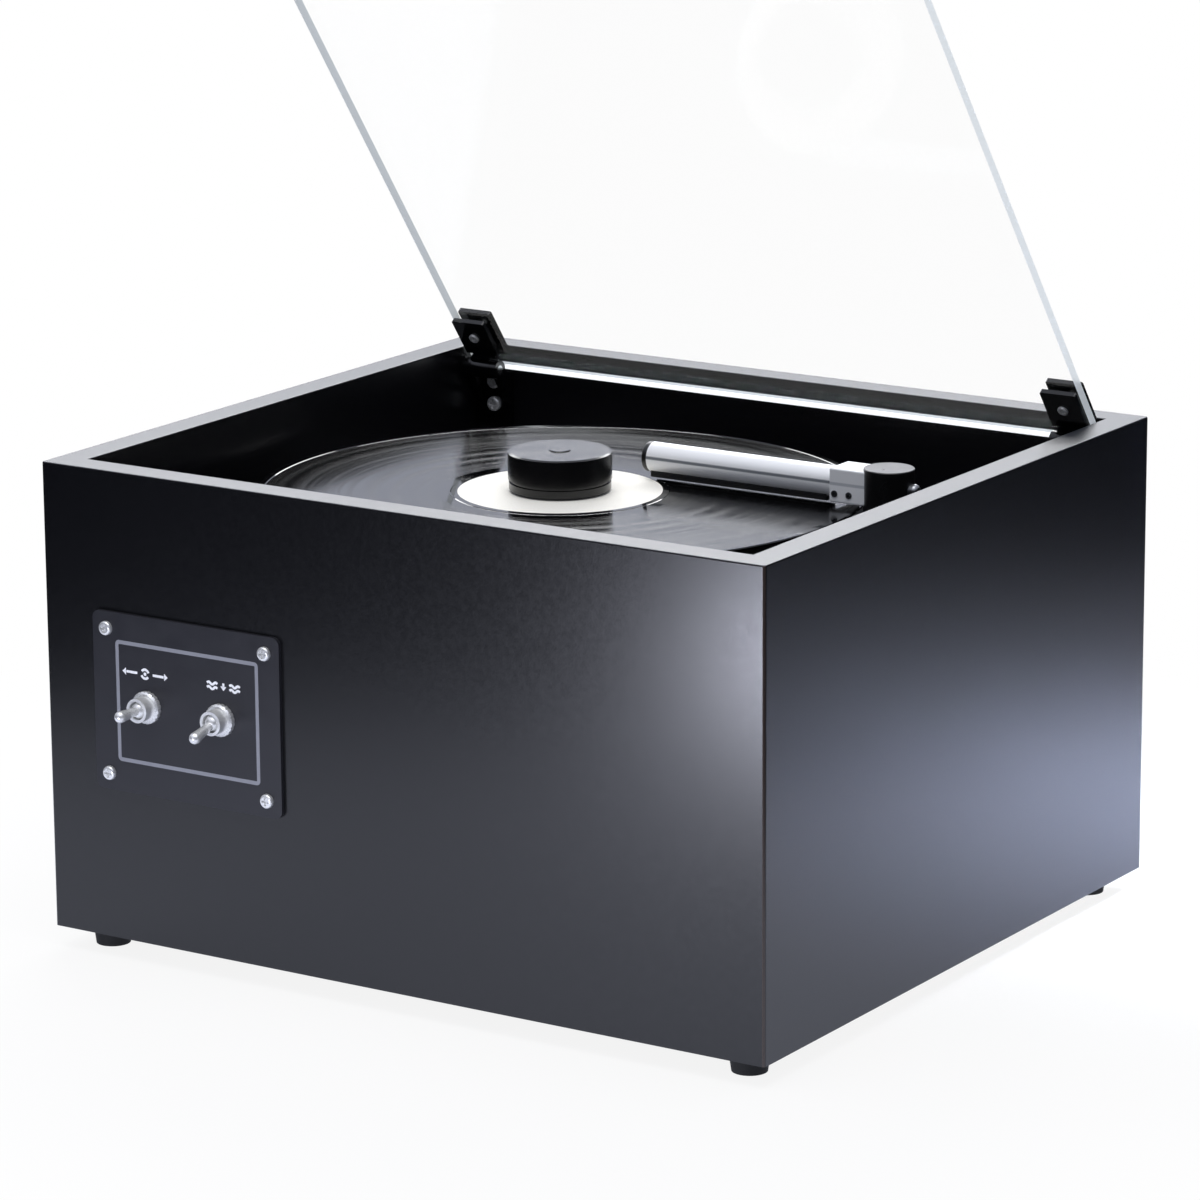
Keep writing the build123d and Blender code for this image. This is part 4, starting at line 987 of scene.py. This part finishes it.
@dataclass
class ControlPlate(Assembly):
    """The enamelled plate with its printed border and marks, and the two toggle switches."""

    border_width: float = 85.1 * MM
    border_height: float = 60.5 * MM
    border_line: float = 1.9 * MM
    border_shift: float = 0.6 * MM
    border_rise: float = 0.9 * MM
    corner: float = 2.2 * MM
    least_corner: float = 0.4 * MM
    film: float = 0.08 * MM
    marks_rise: float = 16.2 * MM
    turning_shift: float = -1.1 * MM
    suction_shift: float = 1.8 * MM
    mark: float = 1.25 * MM
    glyph: float = 3.6 * MM

    def border(self) -> bpy.types.Object:
        """Build the printed line round the switches and return it."""
        low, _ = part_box("control_plate")
        mesh = bmesh.new()
        loops: list[list[bmesh.types.BMVert]] = []
        for thick in (0.0, self.film):
            for inset in (0.0, self.border_line):
                places = [self.on_plate(p, low.y - thick) for p in self.rounded(inset)]
                loops.append([mesh.verts.new(place) for place in places])
        back_out, back_in, front_out, front_in = loops
        count = len(back_out)
        for i in range(count):
            j = (i + 1) % count
            mesh.faces.new((front_out[i], front_out[j], front_in[j], front_in[i]))
            mesh.faces.new((back_out[j], back_out[i], back_in[i], back_in[j]))
            mesh.faces.new((back_out[i], back_out[j], front_out[j], front_out[i]))
            mesh.faces.new((back_in[j], back_in[i], front_in[i], front_in[j]))
        return new_piece("plate_border", mesh, smooth=False)

    def on_plate(self, point: Point, y: float) -> Vector:
        """Return the place of a point counted from the plate's middle."""
        x = self.middle("control_plate", Axis.RIGHT) + point[0]
        return Vector((x, y, self.middle("control_plate", Axis.UP) + point[1]))

    def rounded(self, inset: float) -> list[Point]:
        """List the corners of the border's outline, drawn in by an inset."""
        half_w = self.border_width / 2 - inset
        half_h = self.border_height / 2 - inset
        radius = max(self.corner - inset, self.least_corner)
        points: list[Point] = []
        for quarter, (sx, sz) in enumerate(((1, 1), (-1, 1), (-1, -1), (1, -1))):
            centre = (
                self.border_shift + sx * (half_w - radius),
                self.border_rise + sz * (half_h - radius),
            )
            points += arc(centre, radius, 90 * quarter, 90 * (quarter + 1), 8)
        return points

    def stroke(
        self, mesh: bmesh.types.BMesh, points: Sequence[Point], origin: Vector
    ) -> None:
        """Add a printed stroke of the marks' width along points.

        Args:
            mesh: The shape that it joins.
            points: Its middle line.
            origin: The point on the plate that they are counted from.
        """
        left: list[Point] = []
        right: list[Point] = []
        for i, (x, z) in enumerate(points):
            before = points[max(i - 1, 0)]
            after = points[min(i + 1, len(points) - 1)]
            run = Vector((after[0] - before[0], after[1] - before[1])).normalized()
            run = run * self.mark / 2
            left.append((x - run.y, z + run.x))
            right.append((x + run.y, z - run.x))
        slab(mesh, left + list(reversed(right)), origin, self.film)

    def arrow(self, mesh: bmesh.types.BMesh, tip: Point, way: Point, origin: Vector) -> None:
        """Add an arrow's head.

        Args:
            mesh: The shape that it joins.
            tip: Its point.
            way: The way it points, as right and up.
            origin: The point on the plate that it is counted from.
        """
        half = self.glyph * 0.5
        base = (tip[0] - way[0] * half * 1.2, tip[1] - way[1] * half * 1.2)
        side = (-way[1] * half, way[0] * half)
        left = (base[0] + side[0], base[1] + side[1])
        right = (base[0] - side[0], base[1] - side[1])
        slab(mesh, [tip, left, right], origin, self.film)

    def turning_mark(self) -> bpy.types.Object:
        """Build the mark for the turning platter over the left switch and return it."""
        origin = self.over_switch("toggle_left", self.turning_shift)
        mesh = bmesh.new()
        ring, sweep, dot = self.glyph * 0.62, 125, self.mark * 0.7
        for start in (20, 200):
            self.stroke(mesh, arc((0.0, 0.0), ring, start, start + sweep, 12), origin)
        slab(mesh, arc((0.0, 0.0), dot, 0, 330, 11), origin, self.film)
        gap, reach = self.glyph * 1.3, self.glyph * 3.8
        shaft = reach * 0.82
        for side in (-1, 1):
            self.stroke(mesh, [(side * gap, 0.0), (side * shaft, 0.0)], origin)
            self.arrow(mesh, (side * reach, 0.0), (side, 0.0), origin)
        return new_piece("mark_turning", mesh, smooth=False)

    def suction_mark(self) -> bpy.types.Object:
        """Build the mark for suction over the right switch and return it."""
        origin = self.over_switch("toggle_right", self.suction_shift)
        mesh = bmesh.new()
        half = self.glyph / 2
        self.arrow(mesh, (0.0, -half), (0.0, -1.0), origin)
        self.stroke(mesh, [(0.0, half * 1.1), (0.0, 0.0)], origin)
        row, swell = half * 0.62, half * 0.32
        waves, steps = 1.5, 16
        for side in (-1, 1):
            for rise in (-row, row):
                wave = [
                    (
                        side * self.glyph * (1.0 + 1.7 * i / steps),
                        rise + swell * math.sin(i / steps * math.tau * waves),
                    )
                    for i in range(steps + 1)
                ]
                self.stroke(mesh, wave, origin)
        return new_piece("mark_suction", mesh, smooth=False)

    def over_switch(self, lever: str, shift: float) -> Vector:
        """Return the point on the plate's face where a switch's mark goes."""
        low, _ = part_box("control_plate")
        rise = self.middle("control_plate", Axis.UP) + self.marks_rise
        return Vector((self.middle(lever, Axis.RIGHT) + shift, low.y, rise))

    def build(self) -> list[str]:
        """Dress the plate and switches and return the names of the printed pieces."""
        enamel = SatinEnamel("plate_enamel", "#26262b", roughness=0.36)
        enamel.dress(self.nodes("control_plate"))
        BRIGHT_NICKEL.dress(self.nodes("switch_nuts", "toggle_left", "toggle_right"))
        bushing = BareMetal("bushing_nickel", "#f6f6f4", roughness=0.34, metallic=0.6)
        bushing.dress(self.nodes("switch_left", "switch_right"))
        printed = [self.border(), self.turning_mark(), self.suction_mark()]
        ScreenInk("border_ink", "#8f9096").dress(printed[:1])
        ScreenInk().dress(printed[1:])
        for piece in printed:
            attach(piece, "cabinet")
        return [p.name for p in printed]


@dataclass
class Turntable(Assembly):
    """The platter with its mat, record, label, spindle and the clamp on it."""

    def build(self) -> list[str]:
        """Dress what turns and return no new pieces."""
        middle = (
            self.middle("record_disc", Axis.RIGHT),
            self.middle("record_disc", Axis.BACK),
        )
        PressedVinyl(middle=middle).dress(self.nodes("record_disc"))
        LabelPaper().dress(self.nodes("record_label"))
        MouldedPlastic("platter_moulding", "#0d0d0e").dress(self.nodes("platter"))
        Rubber("mat_rubber").dress(self.nodes("platter_mat", "clamp_pad"))
        TurnedAcetal(middle=middle).dress(self.nodes("clamp_body"))
        TURNED_BRASS.dress(self.nodes("clamp_insert"))
        steel = BareMetal("ground_steel", "#c6c8ca", roughness=0.18)
        steel.dress(self.nodes("spindle", "drive_shaft"))
        hub = BareMetal("turned_aluminium", "#a9abad", roughness=0.35)
        hub.dress(self.nodes("drive_hub"))
        return []


@dataclass
class VelvetStrip:
    """One strip of velvet along the tube's slot, with its tufts cut in the mesh."""

    name: str
    start: float
    end: float
    near: float
    far: float
    tube_y: float
    tube_z: float
    tube_radius: float
    bottom: float
    tuft: float = 0.12 * MM
    pitch: float = 0.5 * MM
    across: int = 8
    shoulder: float = 0.5 * MM
    turn_along: float = 2.399
    turn_across: float = 1.7

    def top(self, y: float) -> float:
        """Return the height of the tube's underside at a distance from its middle."""
        reach = min(abs(y - self.tube_y), self.tube_radius)
        return self.tube_z - math.sqrt(self.tube_radius**2 - reach**2)

    def ring(self, x: float, index: int) -> list[Vector]:
        """List one section's points, lower ones drawn in and out like tufts."""
        points = []
        for i in range(self.across + 1):
            y = self.near + (self.far - self.near) * i / self.across
            points.append(Vector((x, y, self.top(y))))
        for i in range(self.across, -1, -1):
            share = i / self.across
            y = self.near + (self.far - self.near) * share
            crown = 1 - (2 * share - 1) ** 4
            wave = math.sin(index * self.turn_along + i * self.turn_across)
            wobble = self.tuft * (0.5 + 0.5 * wave)
            points.append(Vector((x, y, self.bottom + (1 - crown) * self.shoulder + wobble)))
        return points

    def build(self) -> bpy.types.Object:
        """Build the strip and return it."""
        mesh = bmesh.new()
        count = int((self.end - self.start) / self.pitch)
        rings = []
        for n in range(count + 1):
            x = self.start + (self.end - self.start) * n / count
            rings.append([mesh.verts.new(p) for p in self.ring(x, n)])
        size = len(rings[0])
        for a, b in zip(rings, rings[1:]):
            for i in range(size):
                j = (i + 1) % size
                mesh.faces.new((a[i], a[j], b[j], b[i]))
        mesh.faces.new(rings[0])
        mesh.faces.new(list(reversed(rings[-1])))
        return new_piece(self.name, mesh)


@dataclass
class VacuumArm(Assembly):
    """The post, block and satin tube, with velvet strips along the slot."""

    tube_radius: float = 7.5 * MM
    strip_width: float = 3.5 * MM

    def strips(self, tube: Point) -> list[bpy.types.Object]:
        """Build the two velvet strips under a tube with this middle and return them."""
        low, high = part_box("velvet_lips")
        made = []
        for name, near, far in (
            ("velvet_strip_front", low.y + self.strip_width, low.y),
            ("velvet_strip_back", high.y - self.strip_width, high.y),
        ):
            strip = VelvetStrip(name, low.x, high.x, near, far, *tube, self.tube_radius, low.z)
            made.append(strip.build())
        return made

    def build(self) -> list[str]:
        """Dress the arm and return the names of the velvet strips."""
        tube = (self.middle("arm_tube", Axis.BACK), self.middle("arm_tube", Axis.UP))
        SatinTube(middle=tube).dress(self.nodes("arm_tube"))
        # the block takes the same painted reflection line, in a paler grey
        block = SatinTube("milled_aluminium", roughness=0.35, middle=tube, painted_reflection_colour="#c9ccd0")
        block.dress(self.nodes("arm_block"))
        post = (self.middle("arm_post", Axis.RIGHT), self.middle("arm_post", Axis.BACK))
        acetal = TurnedAcetal("post_acetal", roughness=0.3, middle=post)
        acetal.dress(self.nodes("arm_post", "arm_end_plug"))
        BareMetal("screw_steel", "#8d8f92", roughness=0.3).dress(self.nodes("arm_screws"))
        TURNED_BRASS.dress(self.nodes("lift_collar"))
        BareMetal("spring_wire", "#9fa1a3", roughness=0.25).dress(self.nodes("lift_spring"))
        MouldedPlastic().dress(self.nodes("post_bearing"))
        strips = self.strips(tube)
        CottonVelvet().dress(strips)
        for piece in strips:
            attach(piece, "arm")
            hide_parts("velvet_lips")
        return [p.name for p in strips]


@dataclass
class InnerWorks(Assembly):
    """The drive, tank and blower inside, and what comes through the back."""

    def build(self) -> list[str]:
        """Dress the hidden pieces and the fittings at the back, and return no new pieces."""
        casting = BareMetal("cast_aluminium", "#8f9193", 0.5, depth_mm=0.05, mark_mm=1.2)
        casting.dress(self.nodes("bearing_housing", "vacuum_motor"))
        BareMetal("oiled_bronze", "#b08b53", roughness=0.35).dress(self.nodes("shaft_bushes"))
        paint = SatinEnamel("motor_paint", "#26292c", roughness=0.42)
        paint.dress(self.nodes("gearbox", "drive_motor"))
        BareMetal("zinc_standoff").dress(self.nodes("motor_standoffs"))
        MilkyPolythene().dress(self.nodes("waste_tank"))
        Rubber("hose_rubber").dress(self.nodes("suction_hose"))
        MouldedPlastic().dress(
            self.nodes("drain_spout", "drain_cap", "vent_grille", "power_inlet")
        )
        return []


# ------------------------------------------------------------------ studio
@dataclass(frozen=True)
class Softbox:
    """A soft rectangular lamp, with its place, the point that it faces, and its light."""

    name: str
    place: Place
    aim: Place
    size: Point
    watts: float
    colour: str = "#ffffff"
    spread_deg: float = 180.0

    def hang(self) -> None:
        """Hang the lamp in the scene."""
        data = bpy.data.lights.new(self.name, "AREA")
        data.shape = "RECTANGLE"
        data.size, data.size_y = self.size
        data.energy = self.watts
        data.color = linear(self.colour)[:3]
        data.spread = math.radians(self.spread_deg)
        lamp = bpy.data.objects.new(self.name, data)
        lamp.location = self.place
        lamp.rotation_mode = "QUATERNION"
        way = Vector(self.aim) - Vector(self.place)
        lamp.rotation_quaternion = way.to_track_quat("-Z", "Y")
        bpy.context.scene.collection.objects.link(lamp)


@dataclass
class Studio:
    """A pale sweep with painted pools of light on it, soft lamps and the photograph's viewpoint.

    The pairs named *_run give where a change starts and ends, as a distance in metres or as a
    share of a direction, and those named *_levels give the levels before and after it.
    """

    eye: Place = (1.41185, -2.17192, 0.81348)
    yaw: float = math.radians(33.018)
    pitch: float = math.radians(-14.077)
    roll: float = math.radians(-0.370)
    lens: float = 162.59
    sensor: float = 36.0
    farthest: float = 60.0
    cool: str = "#e9eeff"
    fill: float = 0.48
    behind_run: Point = (0.55, 0.9)
    behind_levels: Point = (0.01, 1.0)
    above_run: Point = (0.3, 0.7)
    above_levels: Point = (0.01, 0.9)
    floor_half: float = 9.0
    floor_drop: float = 0.2 * MM
    paper_roughness: float = 0.9
    # painted dark of the paper further out, as gloss and bounced light see it
    painted_dark_far: str = "#22252b"
    paper_seen: str = "#f2f2f2"
    # share of gloss that sees the paper glowing with its painted pools
    painted_reflection_share: float = 0.7
    # middles and runs of the two painted pools of light on the paper
    painted_pool_middle: Place = (-0.05, -0.07, 0.0)
    painted_pool_run: Point = (0.56, 0.67)
    painted_side_pool_middle: Place = (0.28, 0.42, 0.0)
    painted_side_pool_run: Point = (0.05, 0.52)
    white_run: Point = (0.32, 0.6)
    white_levels: Point = (0.88, 1.0)
    lamps: tuple[Softbox, ...] = (
        Softbox("top_softbox", (0.2, -0.4, 2.3), (0.0, 0.0, 0.2), (1.8, 1.6), 28.0),
        Softbox("back_softbox", (-1.0, 1.55, 1.35), (0.0, 0.0, 0.2), (1.8, 0.7), 30.0),
        Softbox(
            "front_softbox", (-0.075, -0.8, 0.035), (0.2, -0.18, 0.1), (0.16, 0.05), 1.5, "#ebeeff"
        ),
        Softbox(
            "side_softbox", (0.5, 0.65, 0.7), (0.25, 0.34, 0.0), (0.15, 0.15), 2.9, "#e0e8ff", 38.0
        ),
    )

    def camera(self) -> None:
        """Set the camera at the photograph's place and angle."""
        data = bpy.data.cameras.new("studio_camera")
        data.lens = self.lens
        data.sensor_width = self.sensor
        data.clip_end = self.farthest
        camera = bpy.data.objects.new("studio_camera", data)
        ahead = Vector(
            (
                -math.sin(self.yaw) * math.cos(self.pitch),
                math.cos(self.yaw) * math.cos(self.pitch),
                math.sin(self.pitch),
            )
        )
        side = ahead.cross(Vector((0.0, 0.0, 1.0))).normalized()
        over = side.cross(ahead)
        right = side * math.cos(self.roll) + over * math.sin(self.roll)
        up = over * math.cos(self.roll) - side * math.sin(self.roll)
        turn = Matrix((right, up, -ahead)).transposed().to_4x4()
        camera.matrix_world = Matrix.Translation(Vector(self.eye)) @ turn
        bpy.context.scene.collection.objects.link(camera)
        bpy.context.scene.camera = camera

    def seen(self, tree: bpy.types.NodeTree) -> bpy.types.NodeSocket:
        """Return one to the camera, straight or through the clear lid, and else zero."""
        ray = add_node(tree, "ShaderNodeLightPath")
        either = add_node(
            tree,
            "ShaderNodeMath",
            {"operation": "MAXIMUM"},
            {0: ray.outputs["Is Camera Ray"], 1: ray.outputs["Is Transmission Ray"]},
        )
        return either.outputs[0]

    def world(self) -> None:
        """Light from all round, white where it is seen.

        Gloss mirrors it only behind the machine, as the photograph looks, and above.
        """
        world = bpy.data.worlds.new("studio_world")
        world.use_nodes = True
        tree = world.node_tree
        back = tree.nodes["Background"]
        tint = add_node(
            tree,
            "ShaderNodeMix",
            {"data_type": "RGBA", 6: linear(self.cool), 7: linear("#ffffff")},
            {0: self.seen(tree)},
        )
        tree.links.new(tint.outputs[2], back.inputs["Color"])
        way = add_node(tree, "ShaderNodeTexCoord").outputs["Generated"]
        part = add_node(tree, "ShaderNodeSeparateXYZ", links={0: way})
        ahead = add_node(
            tree,
            "ShaderNodeVectorMath",
            {"operation": "DOT_PRODUCT", 1: (-math.sin(self.yaw), math.cos(self.yaw), 0.0)},
            {0: way},
        )
        mirrored = []
        for value, run, ends in (
            (ahead.outputs["Value"], self.behind_run, self.behind_levels),
            (part.outputs["Z"], self.above_run, self.above_levels),
        ):
            level = add_node(
                tree,
                "ShaderNodeMapRange",
                {"interpolation_type": "SMOOTHSTEP", 1: run[0], 2: run[1], 3: ends[0], 4: ends[1]},
                {0: value},
            )
            mirrored.append(level.outputs[0])
        sky = add_node(
            tree, "ShaderNodeMath", {"operation": "MAXIMUM"}, dict(enumerate(mirrored))
        )
        ray = add_node(tree, "ShaderNodeLightPath")
        lit = add_node(
            tree,
            "ShaderNodeMix",
            {"data_type": "FLOAT", 2: self.fill},
            {0: ray.outputs["Is Glossy Ray"], 3: sky.outputs[0]},
        )
        level = add_node(
            tree,
            "ShaderNodeMix",
            {"data_type": "FLOAT", 3: 1.0},
            {0: self.seen(tree), 2: lit.outputs[0]},
        )
        tree.links.new(level.outputs[0], back.inputs["Strength"])
        bpy.context.scene.world = world

    def sheet(
        self, tree: bpy.types.NodeTree, point: bpy.types.NodeSocket
    ) -> bpy.types.NodeSocket:
        """Colour the paper as gloss and bounced light meet it: painted pools of light near the
        machine and at its right back, and painted dark further out.

        Args:
            tree: The paper's node tree.
            point: The point on the floor.

        Returns:
            The paper's colour.
        """
        fades = []
        for middle, run in (
            (self.painted_pool_middle, self.painted_pool_run),
            (self.painted_side_pool_middle, self.painted_side_pool_run),
        ):
            away = add_node(
                tree, "ShaderNodeVectorMath", {"operation": "DISTANCE", 1: middle}, {0: point}
            )
            fade = add_node(
                tree,
                "ShaderNodeMapRange",
                {"interpolation_type": "SMOOTHSTEP", 1: run[0], 2: run[1]},
                {0: away.outputs["Value"]},
            )
            fades.append(fade.outputs[0])
        dark = add_node(tree, "ShaderNodeMath", {"operation": "MINIMUM"}, dict(enumerate(fades)))
        mix = add_node(
            tree,
            "ShaderNodeMix",
            {"data_type": "RGBA", 6: linear(self.cool), 7: linear(self.painted_dark_far)},
            {0: dark.outputs[0]},
        )
        return mix.outputs[2]

    def paper(self) -> bpy.types.Material:
        """Make the floor's paper, seen white with a faint shadow round the feet; to gloss it
        partly glows with the painted pools.
        """
        made = bpy.data.materials.new("studio_paper")
        made.use_nodes = True
        tree = made.node_tree
        shader = tree.nodes["Principled BSDF"]
        shader.inputs["Roughness"].default_value = self.paper_roughness
        shader.inputs["Specular IOR Level"].default_value = 0.0
        point = add_node(tree, "ShaderNodeTexCoord").outputs["Object"]
        sheet = self.sheet(tree, point)
        tree.links.new(sheet, shader.inputs["Base Color"])
        # a glow of the paper's painted pools, seen only in gloss: a painted reflection
        mirrored = add_node(tree, "ShaderNodeEmission", {"Strength": 1.0}, {"Color": sheet})
        glossy = add_node(tree, "ShaderNodeLightPath").outputs["Is Glossy Ray"]
        part = add_node(
            tree,
            "ShaderNodeMath",
            {"operation": "MULTIPLY", 1: self.painted_reflection_share},
            {0: glossy},
        )
        spread = add_node(
            tree,
            "ShaderNodeMixShader",
            links={0: part.outputs[0], 1: shader.outputs[0], 2: mirrored.outputs[0]},
        )
        plain = add_node(tree, "ShaderNodeBsdfDiffuse", {"Color": linear(self.paper_seen)})
        white = add_node(
            tree, "ShaderNodeEmission", {"Color": linear("#ffffff"), "Strength": 1.0}
        )
        out = add_node(tree, "ShaderNodeVectorMath", {"operation": "LENGTH"}, {0: point})
        run, ends = self.white_run, self.white_levels
        share = add_node(
            tree,
            "ShaderNodeMapRange",
            {"interpolation_type": "SMOOTHSTEP", 1: run[0], 2: run[1], 3: ends[0], 4: ends[1]},
            {0: out.outputs["Value"]},
        )
        shown = add_node(
            tree,
            "ShaderNodeMixShader",
            links={0: share.outputs[0], 1: plain.outputs[0], 2: white.outputs[0]},
        )
        mix = add_node(
            tree,
            "ShaderNodeMixShader",
            links={0: self.seen(tree), 1: spread.outputs[0], 2: shown.outputs[0]},
        )
        tree.links.new(mix.outputs[0], tree.nodes["Material Output"].inputs["Surface"])
        return made

    def floor(self) -> None:
        """Lay the pale floor just under the feet."""
        mesh = bmesh.new()
        half, drop = self.floor_half, self.floor_drop
        corners = ((-half, -half), (half, -half), (half, half), (-half, half))
        mesh.faces.new([mesh.verts.new((x, y, -drop)) for x, y in corners])
        floor = new_piece("studio_floor", mesh, smooth=False)
        floor.data.materials.append(self.paper())

    def build(self) -> None:
        """Set up camera, world, floor and lamps."""
        self.camera()
        self.world()
        self.floor()
        for lamp in self.lamps:
            lamp.hang()
        settings = bpy.context.scene.view_settings
        settings.view_transform = "Standard"


def main() -> None:
    """Load the frame, dress every sub-assembly and set up the studio."""
    logging.basicConfig(level=logging.INFO, format="%(name)s %(message)s")
    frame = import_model()
    groups: list[Assembly] = [
        Cabinet(frame),
        Lid(frame),
        ControlPlate(frame),
        Turntable(frame),
        VacuumArm(frame),
        InnerWorks(frame),
    ]
    for group in groups:
        made = group.build()
        LOG.info("%s: %s", type(group).__name__, ", ".join(made) or "nodes dressed")
    Studio().build()


if __name__ == "__main__":
    main()
